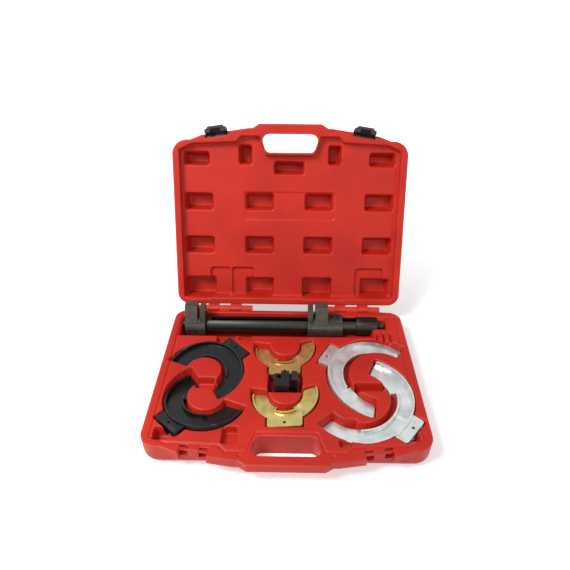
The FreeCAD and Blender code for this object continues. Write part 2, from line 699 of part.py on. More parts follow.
def make_hinge_pins():
    """Two steel pins, one per hinge zone."""
    start = HINGE_ZONE_START + 0.5
    end = HINGE_ZONE_END - 0.5
    return Part.makeCompound([rod(HINGE_PIN_R, start, end, HINGE_Y, HINGE_Z),
                              rod(HINGE_PIN_R, -end, -start, HINGE_Y, HINGE_Z)])


def make_latch_pins():
    """Two steel pins through the latch barrels."""
    pins = []
    reach = LATCH_HALF + SIDE_GAP + EAR - 1.2
    for side in (-1, 1):
        centre = side * LATCH_CENTRE
        pin = rod(LATCH_PIN_R, centre - reach, centre + reach, PIVOT_Y, PIVOT_Z)
        pins.append(open_lid(along_lip(pin, side)))
    return Part.makeCompound(pins)


# ================================================================== compressor
def tool_rod(radius, x0, x1):
    """Round bar on the tool axis."""
    return rod(radius, x0, x1, TOOL_Y, TOOL_Z)


def head(x0, x1, top, front_shift):
    """Upright jaw head: straight back, flat top, leaning front."""
    profile = [(JAW_BACK, 0), (JAW_BACK, top), (-1 - front_shift, top),
               (-17 - front_shift, 16 - TONGUE_DROP * (front_shift > 0)), (-17 - front_shift, 0)]
    points = [V(x0, TOOL_Y + y, TOOL_Z + z) for y, z in profile]
    face = Part.Face(Part.makePolygon(points + [points[0]]))
    return face.extrude(V(x1 - x0, 0, 0))


def detent_bore(x_face, direction, y, z):
    """Blind bore behind a ball, with a slightly closed mouth."""
    depth = 8.2
    bore = Part.makeCylinder(BALL_R + RUN_FIT, depth - 0.5, V(x_face - direction * 0.5, y, z),
                             V(-direction, 0, 0))
    mouth = Part.makeCylinder(BALL_R - 0.25, 2, V(x_face + direction, y, z), V(-direction, 0, 0))
    return bore.fuse(mouth)


def detent_ball(x_face, direction, y, z):
    """Ball that stands a little proud of the tongue face."""
    centre = x_face + direction * (BALL_PROUD - BALL_R)
    return Part.makeSphere(BALL_R, V(centre, y, z))


def detent_spring(x_face, direction, y, z):
    """Small coil spring between bore floor and ball."""
    floor = x_face - direction * (8.2 - SPRING_WIRE_R - 0.05)
    ball_back = x_face + direction * (BALL_PROUD - 2 * BALL_R)
    length = abs(ball_back - floor) - 0.1
    coil_r = BALL_R - SPRING_WIRE_R - 0.9
    helix = Part.makeHelix(length / SPRING_TURNS, length, coil_r)
    profile = Part.Wire(Part.makeCircle(SPRING_WIRE_R, V(coil_r, 0, 0), V(0, 1, 0)))
    coil = Part.Wire(helix).makePipeShell([profile], True, True)
    coil.Placement = FreeCAD.Placement(V(floor, y, z), FreeCAD.Rotation(Z_AXIS, V(direction, 0, 0)))
    return coil


TONGUE_BALL_Z = TOOL_Z + JAW_TOP - TONGUE_DROP - 8.0
TONGUE_BALL_Y = TOOL_Y + 5.0
FIXED_TONGUE_LEFT = FIXED_JAW_LEFT + BLOCK_LENGTH + GROOVE_LENGTH
FIXED_TONGUE_RIGHT = FIXED_TONGUE_LEFT + TONGUE_LENGTH
MOVING_BLOCK_LEFT = MOVING_TONGUE_LEFT + TONGUE_LENGTH + GROOVE_LENGTH
MOVING_COLLAR_LEFT = MOVING_BLOCK_LEFT + BLOCK_LENGTH
MOVING_COLLAR_RIGHT = MOVING_COLLAR_LEFT + COLLAR_LENGTH
NUT_RIGHT = MOVING_COLLAR_RIGHT - 2.0
NUT_LEFT = NUT_RIGHT - NUT_LENGTH
KEY_WIDTH = SLOT_WIDTH - 0.2
KEY_TOP = TUBE_R + 2.5
KEY_LEFT = MOVING_COLLAR_LEFT + 3.0
KEY_RIGHT = MOVING_COLLAR_RIGHT - 3.0
SCREW_R = 2.5
SCREW_HEAD_R = 4.25
SCREW_HEAD = 3.0
GRUB_R = 3.0


def make_slotted_tube():
    """Thick tube with a straight slot along its top."""
    tube = tool_rod(TUBE_R, TUBE_LEFT, TUBE_RIGHT).cut(tool_rod(TUBE_BORE_R, TUBE_LEFT - 1, TUBE_RIGHT + 1))
    half = SLOT_WIDTH / 2
    slot = box(SLOT_LEFT, CAP_LEFT, TOOL_Y - half, TOOL_Y + half, TOOL_Z, TOOL_Z + TUBE_R + 1)
    slot = round_edges(slot, half - 0.2, lambda edge: edge.BoundBox.XMax < SLOT_LEFT + 1e-3
                       and edge.BoundBox.ZLength > 1)
    return tube.cut([slot] + jaw_screw_holes(PRESS) + cap_screw_holes(PRESS))


def jaw_screws(gap):
    """Grub screws through the front of the fixed jaw into the tube."""
    screws = []
    for x in (FIXED_JAW_LEFT + 8, FIXED_JAW_LEFT + BLOCK_LENGTH - 4):
        screws.append(Part.makeCylinder(GRUB_R + gap, JAW_R - TUBE_BORE_R - 1.5,
                                        V(x, TOOL_Y - JAW_R + 0.5, TOOL_Z), V(0, 1, 0)))
    return screws


def jaw_screw_holes(gap):
    """Holes for the grub screws, open to the outside."""
    holes = []
    for x in (FIXED_JAW_LEFT + 8, FIXED_JAW_LEFT + BLOCK_LENGTH - 4):
        holes.append(Part.makeCylinder(GRUB_R + gap, JAW_R - TUBE_BORE_R + 4,
                                       V(x, TOOL_Y - JAW_R - 5, TOOL_Z), V(0, 1, 0)))
    return holes


def cap_screws(gap, extra):
    """Three grub screws that lock the end cap on the tube."""
    screws = []
    x = (CAP_LEFT + TUBE_RIGHT) / 2
    for turn in (90, 210, 330):
        direction = V(0, math.cos(math.radians(turn)), math.sin(math.radians(turn)))
        start = V(x, TOOL_Y, TOOL_Z) + direction * (TUBE_BORE_R + 1.5)
        screws.append(Part.makeCylinder(GRUB_R - 1 + gap, CAP_FLAT - TUBE_BORE_R - 2.0 + extra,
                                        start, direction))
    return screws


def cap_screw_holes(gap):
    """Holes for the cap screws, open to the outside."""
    return cap_screws(gap, 6.0)


def make_fixed_jaw():
    """Jaw fixed at the end of the tube: block, groove and tongue."""
    body = tool_rod(JAW_R, FIXED_JAW_LEFT, FIXED_TONGUE_RIGHT)
    block = head(FIXED_JAW_LEFT, FIXED_JAW_LEFT + BLOCK_LENGTH, JAW_TOP, 0)
    tongue = head(FIXED_TONGUE_LEFT, FIXED_TONGUE_RIGHT, JAW_TOP - TONGUE_DROP, 2)
    jaw = join([body, block, tongue])
    bore = tool_rod(TUBE_R + PRESS, FIXED_JAW_LEFT - 1, FIXED_TONGUE_RIGHT + 1)
    detent = detent_bore(FIXED_TONGUE_RIGHT, 1, TONGUE_BALL_Y, TONGUE_BALL_Z)
    return jaw.cut([bore, detent] + jaw_screw_holes(PRESS))


def make_travelling_jaw():
    """Jaw that runs along the tube: tongue, groove, block and collar."""
    body = tool_rod(JAW_R, MOVING_TONGUE_LEFT, MOVING_COLLAR_RIGHT)
    block = head(MOVING_BLOCK_LEFT, MOVING_COLLAR_LEFT, JAW_TOP, 0)
    tongue = head(MOVING_TONGUE_LEFT, MOVING_TONGUE_LEFT + TONGUE_LENGTH, JAW_TOP - TONGUE_DROP, 2)
    jaw = join([body, block, tongue])
    bore = tool_rod(TUBE_R + RUN_FIT, MOVING_TONGUE_LEFT - 1, MOVING_COLLAR_RIGHT + 1)
    keyway = box(KEY_LEFT - 0.1, KEY_RIGHT + 0.1, TOOL_Y - KEY_WIDTH / 2, TOOL_Y + KEY_WIDTH / 2,
                 TOOL_Z, TOOL_Z + KEY_TOP)
    detent = detent_bore(MOVING_TONGUE_LEFT, -1, TONGUE_BALL_Y, TONGUE_BALL_Z)
    return jaw.cut([bore, keyway, detent] + nut_screws(PRESS, 10.0))


def nut_screws(gap, extra):
    """Two cap screws through the collar into the key of the nut."""
    screws = []
    head_top = TOOL_Z + JAW_R - 0.6
    for x in (KEY_LEFT + 6, KEY_RIGHT - 6):
        shank = post(SCREW_R + gap, x, TOOL_Y, TOOL_Z + THREAD_R + 1.5, head_top - 1)
        top = post(SCREW_HEAD_R + gap, x, TOOL_Y, head_top - SCREW_HEAD, head_top + extra)
        screws.append(shank.fuse(top))
    return screws


def make_nut_screws():
    """Cap screws with hexagon sockets."""
    screws = []
    for screw in nut_screws(0, 0):
        middle = screw.BoundBox.Center
        socket = hexagon(middle.x, middle.y, screw.BoundBox.ZMax - 2.0, 4.0, 3.0)
        screws.append(screw.cut(socket))
    return Part.makeCompound(screws)


def hexagon(x, y, z, across, height):
    """Upright hexagonal bar."""
    radius = across / math.sqrt(3)
    points = [(x + radius * math.cos(math.radians(60 * i)), y + radius * math.sin(math.radians(60 * i)), 0)
              for i in range(6)]
    return prism(points, z, z + height)


def make_drive_nut():
    """Nut inside the tube, its key passing up through the slot."""
    nut = tool_rod(TUBE_BORE_R - RUN_FIT, NUT_LEFT, NUT_RIGHT)
    key = box(KEY_LEFT, KEY_RIGHT, TOOL_Y - KEY_WIDTH / 2, TOOL_Y + KEY_WIDTH / 2,
              TOOL_Z + TUBE_BORE_R / 2, TOOL_Z + KEY_TOP)
    bore = tool_rod(THREAD_R + RUN_FIT, NUT_LEFT - 1, NUT_RIGHT + 1)
    return join([nut, key]).cut([bore] + nut_screws(PRESS, 10.0))


def make_spindle():
    """Threaded spindle with tail, thrust collar, journal and hexagon."""
    crest = THREAD_PITCH * 0.36
    depth = THREAD_PITCH * 0.45
    flank = THREAD_PITCH * 0.13
    root = THREAD_R - depth
    neck = JOURNAL_R - 0.5
    points = [(TUBE_LEFT + 4, 0), (TUBE_LEFT + 4, TAIL_R), (THREAD_LEFT, TAIL_R), (THREAD_LEFT, root)]
    turns = int((THREAD_RIGHT - THREAD_LEFT) / THREAD_PITCH)
    for i in range(turns):
        x = THREAD_LEFT + i * THREAD_PITCH
        points.append((x + flank, THREAD_R))
        points.append((x + flank + crest, THREAD_R))
        points.append((x + 2 * flank + crest, root))
        points.append((x + THREAD_PITCH, root))
    end = THREAD_LEFT + turns * THREAD_PITCH
    collar = TUBE_RIGHT + 0.3
    points += [(end, neck), (collar, neck), (collar, COLLAR_R), (collar + SPINDLE_COLLAR, COLLAR_R),
               (collar + SPINDLE_COLLAR, JOURNAL_R), (RING_LEFT - 0.05, JOURNAL_R),
               (RING_LEFT - 0.05, JOURNAL_R - 1), (RING_LEFT + RING_THICKNESS + 0.05, JOURNAL_R - 1),
               (RING_LEFT + RING_THICKNESS + 0.05, JOURNAL_R), (HEX_LEFT, JOURNAL_R), (HEX_LEFT, 0)]
    vectors = [V(x, TOOL_Y, TOOL_Z + r) for x, r in points]
    profile = Part.Face(Part.makePolygon(vectors + [vectors[0]]))
    shaft = profile.revolve(V(0, TOOL_Y, TOOL_Z), X_AXIS, 360)
    stub = hexagon(0, 0, 0, HEX_ACROSS, HEX_END - HEX_LEFT)
    cone = Part.makeCone(HEX_ACROSS / 2 + 4.5, HEX_ACROSS / 2 - 0.5, HEX_END - HEX_LEFT)
    stub = stub.common(cone)
    stub.Placement = FreeCAD.Placement(V(HEX_LEFT, TOOL_Y, TOOL_Z), FreeCAD.Rotation(V(0, 1, 0), 90))
    return join([shaft, stub])


COLLAR_FACE = TUBE_RIGHT + 0.3 + SPINDLE_COLLAR
CAGE_LEFT = COLLAR_FACE + WASHER
CAGE_RIGHT = CAGE_LEFT + BALL_CAGE
CHAMBER_END = CAGE_RIGHT + WASHER + 0.1
RING_LEFT = CAP_RIGHT + 0.2
RING_THICKNESS = 1.2
HEX_LEFT = RING_LEFT + RING_THICKNESS + 0.8
THRUST_R = 10.0
THRUST_BALLS = 10


def make_end_cap():
    """Cap that closes the driven end and carries the thrust bearing."""
    cap = tool_rod(CAP_R, CAP_LEFT, CAP_RIGHT)
    cap = cap.makeChamfer(1.5, [edge for edge in cap.Edges if edge.BoundBox.XMin > CAP_RIGHT - 1e-3])
    reach = CAP_R + 5
    flats = [box(CAP_LEFT + 8, CAP_RIGHT + 1, TOOL_Y - reach, TOOL_Y + reach, TOOL_Z + low, TOOL_Z + high)
             for low, high in ((CAP_FLAT, reach), (-reach, -CAP_FLAT))]
    tools = flats + [tool_rod(TUBE_R + PRESS, CAP_LEFT - 1, TUBE_RIGHT),
                     tool_rod(CAP_CHAMBER_R, TUBE_RIGHT - 1, CHAMBER_END),
                     tool_rod(JOURNAL_R + RUN_FIT, CHAMBER_END - 1, CAP_RIGHT + 1)]
    return cap.cut(tools + cap_screw_holes(PRESS))


def ring_plate(outer, inner, x0, x1):
    """Flat ring on the tool axis."""
    return tool_rod(outer, x0, x1).cut(tool_rod(inner, x0 - 1, x1 + 1))


def make_thrust_washers():
    """Two hardened washers of the thrust bearing."""
    inner = JOURNAL_R + RUN_FIT
    return Part.makeCompound([ring_plate(COLLAR_R - 0.1, inner, COLLAR_FACE + 0.02, CAGE_LEFT - 0.02),
                              ring_plate(COLLAR_R - 0.1, inner, CAGE_RIGHT + 0.02, CHAMBER_END - 0.02)])


def make_thrust_balls():
    """Balls of the thrust bearing, held in a thin cage ring."""
    middle = (CAGE_LEFT + CAGE_RIGHT) / 2
    radius = BALL_CAGE / 2 - 0.02
    cage = ring_plate(COLLAR_R - 0.4, JOURNAL_R + 0.4, middle - 0.6, middle + 0.6)
    balls = []
    for i in range(THRUST_BALLS):
        angle = 2 * math.pi * i / THRUST_BALLS
        balls.append(Part.makeSphere(radius, V(middle, TOOL_Y + THRUST_R * math.cos(angle),
                                               TOOL_Z + THRUST_R * math.sin(angle))))
    return join([cage] + balls)


def make_retaining_ring():
    """Open spring ring in its groove outside the cap."""
    ring = ring_plate(JOURNAL_R + 2.2, JOURNAL_R - 0.9, RING_LEFT, RING_LEFT + RING_THICKNESS)
    gap = box(RING_LEFT - 1, RING_LEFT + RING_THICKNESS + 1, TOOL_Y - 2.5, TOOL_Y + 2.5,
              TOOL_Z + JOURNAL_R - 3, TOOL_Z + JOURNAL_R + 5)
    return ring.cut(gap)


def make_end_plug():
    """Plug in the far end of the tube with the outer boss and the tail bearing."""
    plug = tool_rod(TUBE_BORE_R - PRESS, TUBE_LEFT, TUBE_LEFT + PLUG_LENGTH)
    boss = tool_rod(BOSS_R, TUBE_LEFT - BOSS_LENGTH, TUBE_LEFT)
    boss = boss.makeChamfer(1.2, [edge for edge in boss.Edges
                                  if edge.BoundBox.XMax < TUBE_LEFT - BOSS_LENGTH + 1e-3])
    bearing = tool_rod(TAIL_R + RUN_FIT, TUBE_LEFT + 3.5, TUBE_LEFT + PLUG_LENGTH + 1)
    return join([plug, boss]).cut(bearing)


# ================================================================== yokes
def make_yoke(name):
    """C-shaped yoke: tray-like seat for a spring coil, and a hollow lug."""
    kind = RESTING[name][0]
    ring = yoke_ring(kind, 0, -YOKE_THICKNESS, 0)
    beside_lug = post(kind.mid, 0, 0, -YOKE_THICKNESS - 1, 1)
    beside_lug = beside_lug.common(wedge(-kind.mid_angle, kind.mid_angle, kind.outer, -YOKE_THICKNESS - 1, 1))
    ring = ring.cut(beside_lug)
    limit = min(kind.arm_left, kind.arm_right) - 8
    ring = round_edges(ring, 7, lambda edge: edge.BoundBox.ZLength > YOKE_THICKNESS - 1
                       and abs(math.degrees(math.atan2(edge.BoundBox.Center.y, edge.BoundBox.Center.x))) > limit)
    lug = lug_box(kind, 0, -kind.lug_top - LUG_THICKNESS, -kind.lug_top)
    body = join([ring, lug])
    inner_wall = post(kind.mid + YOKE_LIP, 0, 0, -kind.seat - 1, -INNER_LIP_DROP)
    inner_wall = inner_wall.common(wedge(-kind.mid_angle, kind.mid_angle, kind.outer,
                                         -kind.seat - 1, -INNER_LIP_DROP))
    seat = post(kind.outer - YOKE_LIP, 0, 0, -kind.seat, 1).cut(inner_wall)
    if kind.lug_start:
        raised = box(0, kind.lug_end, -kind.lug_width / 2, kind.lug_width / 2, -kind.seat - 1, 2)
        seat = seat.cut(raised.cut(post(kind.lug_start, 0, 0, -kind.seat - 2, 3)))
    middle = -kind.lug_top - LUG_THICKNESS / 2
    half = TONGUE_LENGTH / 2 + LUG_POCKET_GAP
    lug_pocket = box(kind.lug_end - LUG_POCKET_DEPTH, kind.lug_end + 1, -LUG_POCKET_WIDTH / 2,
                     LUG_POCKET_WIDTH / 2, middle - half, middle + half)
    hole = post(DETENT_HOLE_R, kind.lug_end - 8, kind.hole_side, middle, 1)
    body = body.cut([seat, lug_pocket, hole])
    body.Placement = yoke_place(name, True)
    return body


# ================================================================== adapter block
ADAPTER_GROOVE_LEFT = ADAPTER_LEFT + ADAPTER_BLOCK
ADAPTER_TONGUE_LEFT = ADAPTER_GROOVE_LEFT + GROOVE_LENGTH
ADAPTER_RIGHT = ADAPTER_TONGUE_LEFT + TONGUE_LENGTH
ADAPTER_TOP_Z = RIM_Z + ADAPTER_ABOVE_RIM
ADAPTER_LOW_Z = RIM_Z - ADAPTER_BELOW_RIM
ADAPTER_BALL_Y = BACK_Y - ADAPTER_BACK - 10
ADAPTER_BALL_Z = ADAPTER_TOP_Z - 8


def make_adapter_block():
    """Solid block with groove, tongue, rear step and a blind hole."""
    block = front_box(ADAPTER_LEFT, ADAPTER_GROOVE_LEFT, ADAPTER_BACK, ADAPTER_FRONT,
                      ADAPTER_LOW_Z, ADAPTER_TOP_Z)
    block = round_edges(block, 2.5, lambda edge: edge.BoundBox.ZLength > 10
                        and edge.BoundBox.XMax < ADAPTER_LEFT + 1e-3)
    tongue_front = ADAPTER_FRONT - ADAPTER_TONGUE_SET_BACK
    tongue = front_box(ADAPTER_TONGUE_LEFT, ADAPTER_RIGHT, ADAPTER_BACK, tongue_front,
                       ADAPTER_LOW_Z, ADAPTER_TOP_Z)
    bridge = front_box(ADAPTER_GROOVE_LEFT - 1, ADAPTER_TONGUE_LEFT + 1, ADAPTER_BACK, tongue_front,
                       ADAPTER_LOW_Z, ADAPTER_TOP_Z - ADAPTER_GROOVE_DEPTH)
    body = join([block, tongue, bridge])
    step = front_box(ADAPTER_LEFT - 1, ADAPTER_LEFT + 11, ADAPTER_BACK - 1, ADAPTER_BACK + ADAPTER_STEP,
                     ADAPTER_TOP_Z - ADAPTER_GROOVE_DEPTH, ADAPTER_TOP_Z + 1)
    hole = post(ADAPTER_HOLE_R, ADAPTER_LEFT + 8, BACK_Y - ADAPTER_BACK - ADAPTER_STEP - 7,
                ADAPTER_TOP_Z - 12, ADAPTER_TOP_Z + 1)
    detent = detent_bore(ADAPTER_RIGHT, 1, ADAPTER_BALL_Y, ADAPTER_BALL_Z)
    return body.cut([step, hole, detent])


# ================================================================== all nodes
DETENTS = {
    "fixed": (FIXED_TONGUE_RIGHT, 1, TONGUE_BALL_Y, TONGUE_BALL_Z),
    "travelling": (MOVING_TONGUE_LEFT, -1, TONGUE_BALL_Y, TONGUE_BALL_Z),
    "adapter": (ADAPTER_RIGHT, 1, ADAPTER_BALL_Y, ADAPTER_BALL_Z),
}

nodes = {
    "case_base": make_case_base(),
    "case_lid": make_case_lid(),
    "hinge_pins": make_hinge_pins(),
    "latch_left": open_latch(latch(-1), -1),
    "latch_right": open_latch(latch(1), 1),
    "latch_pins": make_latch_pins(),
    "slotted_tube": make_slotted_tube(),
    "fixed_jaw": make_fixed_jaw(),
    "fixed_jaw_screws": Part.makeCompound(jaw_screws(0)),
    "travelling_jaw": make_travelling_jaw(),
    "drive_nut": make_drive_nut(),
    "nut_screws": make_nut_screws(),
    "spindle": make_spindle(),
    "end_cap": make_end_cap(),
    "cap_screws": Part.makeCompound(cap_screws(0, 0)),
    "thrust_washers": make_thrust_washers(),
    "thrust_balls": make_thrust_balls(),
    "retaining_ring": make_retaining_ring(),
    "end_plug": make_end_plug(),
    "adapter_block": make_adapter_block(),
}
for yoke_name in RESTING:
    nodes[yoke_name] = make_yoke(yoke_name)
for place, where in DETENTS.items():
    nodes["detent_ball_" + place] = detent_ball(*where)
    nodes["detent_spring_" + place] = detent_spring(*where)

for node_name, shape in nodes.items():
    shape.exportStep("parts/" + node_name + ".step")
    print(node_name, "solids", len(shape.Solids), "valid", shape.isValid(), "volume", round(shape.Volume))
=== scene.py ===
# %% [markdown]
# # A coil spring compressor in its carrying case
#
# The real object is a mechanic's kit: a red blow-moulded case lies open, and in its
# tray rest a slotted tube with two steel jaws, six C-shaped yokes that hold a spring's
# coil, and a small adapter block. The imported CAD model gives every piece its place and
# size. Here the pieces get the rounded edges, surfaces and finishes of the real ones.
# The first cell loads that frame.

# %% Load the frame
import bpy
import math
import numpy as np
from mathutils import Matrix, Vector


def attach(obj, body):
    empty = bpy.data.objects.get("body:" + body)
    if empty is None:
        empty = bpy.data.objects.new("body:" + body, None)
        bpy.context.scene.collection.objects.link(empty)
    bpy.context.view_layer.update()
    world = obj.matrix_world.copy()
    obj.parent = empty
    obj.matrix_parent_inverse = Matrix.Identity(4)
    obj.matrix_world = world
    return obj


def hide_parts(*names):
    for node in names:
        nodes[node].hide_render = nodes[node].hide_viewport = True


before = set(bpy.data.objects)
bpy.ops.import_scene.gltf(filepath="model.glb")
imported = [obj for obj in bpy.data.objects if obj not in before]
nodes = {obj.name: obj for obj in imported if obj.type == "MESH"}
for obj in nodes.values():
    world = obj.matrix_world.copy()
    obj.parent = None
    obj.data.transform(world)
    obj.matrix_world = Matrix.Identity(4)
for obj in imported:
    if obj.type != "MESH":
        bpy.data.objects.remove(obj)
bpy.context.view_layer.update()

# %% [markdown]
# ## Sizes of the case
#
# Two halves of a blow-moulded case share one rim plane. A place on a half is given by
# three numbers in millimetres: `x` along the hinge, `front`, the distance forward from
# the hinge-side edge, and `drop`, the depth below the rim plane into that half. The same
# functions then serve the tray and the lid, and one last step puts a half in the world.

# %% Sizes and places of the two halves
MM = 0.001                  # a millimetre in metres
RIM_Z = 44.0
BODY_DEPTH = 319.0          # front to back, without the lip and the handle
BACK_Y = BODY_DEPTH / 2
HALF_WIDTH = 222.5
BACK_CORNER_R = 22.0
FRONT_CORNER_R = 28.0
CLOSED_EDGE_R = 16.0        # from the walls into the closed face
HEIGHT = {"base": 44.0, "lid": 46.0}
SOLID = {"base": "case_base", "lid": "case_lid"}
HINGE_Y = BACK_Y + 9.2
HINGE_Z = RIM_Z - 2.5
OPEN_ANGLE = math.radians(112.4)
EDGE_ROUND = 1.4            # rounding of the rim's outer edge
EDGE_SHORT = 0.2            # the rounding ends this far short of upright
TOOL_FRONT = 31.5           # axis of the compressor: front of the hinge side ...
TOOL_DROP = 10.0            # ... and below the rim
JAW_ROOM_R = 24.5           # hollow for the 23 mm jaws about that axis


def to_world(half, x, front, drop):
    """Case coordinates to metres: the base looks up from the bench; the lid is the same
    point mirrored in the rim plane, then turned about the hinge pin by the open angle."""
    y = BACK_Y - front
    if half == "base":
        z = RIM_Z - drop
    else:
        dy = y - HINGE_Y
        dz = RIM_Z + drop - HINGE_Z
        y = HINGE_Y + dy * math.cos(OPEN_ANGLE) + dz * math.sin(OPEN_ANGLE)
        z = HINGE_Z - dy * math.sin(OPEN_ANGLE) + dz * math.cos(OPEN_ANGLE)
    return np.stack([x, y, z], axis=-1) * MM


def to_case(half, points):
    """The reverse of to_world for an (n, 3) array in metres."""
    x, y, z = (points / MM).T
    if half == "base":
        return x, BACK_Y - y, RIM_Z - z
    dy = y - HINGE_Y
    dz = z - HINGE_Z
    closed_y = HINGE_Y + dy * math.cos(OPEN_ANGLE) - dz * math.sin(OPEN_ANGLE)
    closed_z = HINGE_Z + dy * math.sin(OPEN_ANGLE) + dz * math.cos(OPEN_ANGLE)
    return x, BACK_Y - closed_y, closed_z - RIM_Z


print("case is", 2 * HALF_WIDTH, "mm wide and", BODY_DEPTH, "mm deep without its handle")

# %% [markdown]
# ## Distance fields
#
# A blow-moulded wall has no sharp corners: hot plastic stretches over every edge. Such a
# surface is easy to write as a height that depends on the distance to a recess's mouth.
# The helpers below measure that distance: negative inside the recess, positive outside.

# %% Distance helpers
def box_distance(x, f, x0, x1, f0, f1, r=0.0):
    """Distance to a rectangle whose corners are rounded by r."""
    dx = np.abs(x - (x0 + x1) / 2) - (x1 - x0) / 2 + r
    df = np.abs(f - (f0 + f1) / 2) - (f1 - f0) / 2 + r
    outside = np.hypot(np.maximum(dx, 0), np.maximum(df, 0))
    return outside + np.minimum(np.maximum(dx, df), 0) - r


def polygon_distance(x, f, corners):
    """Distance to a polygon: the nearest of its sides, signed by the even-odd rule."""
    best = np.full(x.shape, 1e9)
    inside = np.zeros(x.shape, bool)
    for (ax, af), (bx, bf) in zip(corners, corners[1:] + corners[:1]):
        ex, ef = bx - ax, bf - af
        along = np.clip(((x - ax) * ex + (f - af) * ef) / (ex * ex + ef * ef), 0, 1)
        best = np.minimum(best, np.hypot(x - ax - along * ex, f - af - along * ef))
        crosses = (af > f) != (bf > f)
        where = ax + (f - af) * ex / (ef if ef else 1e-9)
        inside ^= crosses & (x < where)
    return np.where(inside, -best, best)


def mirrored(half):
    """Closed polygon from its right half."""
    return half + [(-x, f) for x, f in reversed(half)]


def block_distance(x, f):
    """Distance to the outline of the full-height block; its front corners are rounder."""
    back = box_distance(x, f, -HALF_WIDTH, HALF_WIDTH, 0, BODY_DEPTH, BACK_CORNER_R)
    front = box_distance(x, f, -HALF_WIDTH, HALF_WIDTH, 0, BODY_DEPTH, FRONT_CORNER_R)
    return np.where(f < BODY_DEPTH / 2, back, front)


def moved_in(corners, r):
    """Corners of a convex polygon after each of its sides has moved inward by r: side i
    lies on the line n_i . p = c_i + r, and each new corner is where two such lines meet."""
    middle = np.mean(corners, axis=0)
    lines = []
    for start, end in zip(corners, corners[1:] + corners[:1]):
        normal = np.array([end[1] - start[1], start[0] - end[0]], float)
        normal /= np.linalg.norm(normal)
        if np.dot(middle - start, normal) < 0:
            normal = -normal
        lines.append((normal, np.dot(normal, start) + r))
    moved = []
    for before, after in zip(lines[-1:] + lines[:-1], lines):
        moved.append(tuple(np.linalg.solve([before[0], after[0]], [before[1], after[1]])))
    return moved


ORIGIN = np.zeros(1)
print("a 10 mm square's middle:", box_distance(ORIGIN, ORIGIN, -5, 5, -5, 5)[0], "mm")

# %% [markdown]
# ## Outlines
#
# Seen from above, each half is a block with a lip and a handle bar in front. Steps for
# the latches cut into the lip, and the base has two small notches in each step, which
# take a latch's hooks. The hand hole and the inner panel have outlines of their own.

# %% Outlines of a half
LIP = mirrored([(78, 340.5), (112, 335.5), (166, 327.5), (191, 318), (191, 289)])
HANDLE = mirrored([(58, 348.5), (71, 340.5), (71, 323)])
HAND_HOLE_R = 13.0
HAND_HOLE = moved_in(mirrored([(57, 331), (47, 297)]), HAND_HOLE_R)
PANEL = mirrored([(49, 292), (64, 326), (94, 326), (104, 316), (187.5, 312),
                  (209.5, 302), (209.5, 13)])
PANEL_CORNER_R = 4.0
LATCH_CENTRE = 138.0
LATCH_WALL = 325.0          # front of the hinge side, at a latch's middle
LATCH_TURN = math.radians(8.4)
NOTCH_HALF = 21.4           # half of a latch step's width
HOOK_OFFSET = 15.0
CATCH_HALF = 6.5
CATCH_DEPTH = 8.6
CATCH_HEIGHT = 14.0
OUTSIDE = 75.0              # far enough out to be clear of the case


def hand_hole_distance(x, f):
    """Distance to the hand hole: a smaller outline grown again, which rounds its corners."""
    return polygon_distance(x, f, HAND_HOLE) - HAND_HOLE_R


def along_latch(x, f):
    """Place seen from a latch, which follows the slanted edge: sideways and outward."""
    dx = np.abs(x) - LATCH_CENTRE
    df = f - LATCH_WALL
    return (dx * math.cos(LATCH_TURN) - df * math.sin(LATCH_TURN),
            dx * math.sin(LATCH_TURN) + df * math.cos(LATCH_TURN))


def catch_distance(x, f):
    """Distance to the two notches beside a latch's middle that take its hooks."""
    sideways, outward = along_latch(x, f)
    return box_distance(np.abs(sideways), outward, HOOK_OFFSET - CATCH_HALF, HOOK_OFFSET + CATCH_HALF,
                        -CATCH_DEPTH, OUTSIDE)


def outline_distance(x, f):
    """Distance to the rim's outer edge: block, lip and handle bar, less the latch steps."""
    bar = polygon_distance(x, f, HANDLE)
    whole = np.minimum(np.minimum(block_distance(x, f), polygon_distance(x, f, LIP)), bar)
    sideways, outward = along_latch(x, f)
    step = box_distance(sideways, outward, -NOTCH_HALF, NOTCH_HALF, 0, OUTSIDE)
    return np.maximum(whole, -step)


def base_outline_distance(x, f):
    """Outline of the base, which has the catch notches as well."""
    return np.maximum(outline_distance(x, f), -catch_distance(x, f))


def panel_distance(x, f):
    """Distance to the inner edge of the rim band: a smaller outline grown again. Only the
    corners beside the hand hole keep their x."""
    r = PANEL_CORNER_R
    small = []
    for cx, cf in PANEL:
        small.append((cx - math.copysign(r, cx) if abs(cx) > 60 else cx, cf - r if cf > 200 else cf + r))
    return polygon_distance(x, f, small) - r


SAMPLE = outline_distance(ORIGIN, ORIGIN + BACK_Y)[0]
print("the middle of the case is", round(float(-SAMPLE), 1), "mm inside its outline")

# %% [markdown]
# ## Recess profiles
#
# Every recess uses one cross-section: a rounded mouth, a wall that leans a little so that
# the moulding leaves its tool, and a small rounding at the floor. Shallow marks, such as
# the groove inside the rim, are a soft step instead.

# %% Cross-sections of a moulded recess
MOUTH_R = 2.2               # rounding of a recess's mouth
WALL_START = -1.2           # a wall starts at this distance from the mouth line
WALL_LEAN = 1.4             # width that a leaning wall takes up
FOOT_SHARE = 0.06           # share of the depth that is left to the soft foot
FOOT_WIDTH = 2.4


def smooth(t):
    """Soft step from 0 to 1: 3t^2 - 2t^3."""
    t = np.clip(t, 0, 1)
    return t * t * (3 - 2 * t)


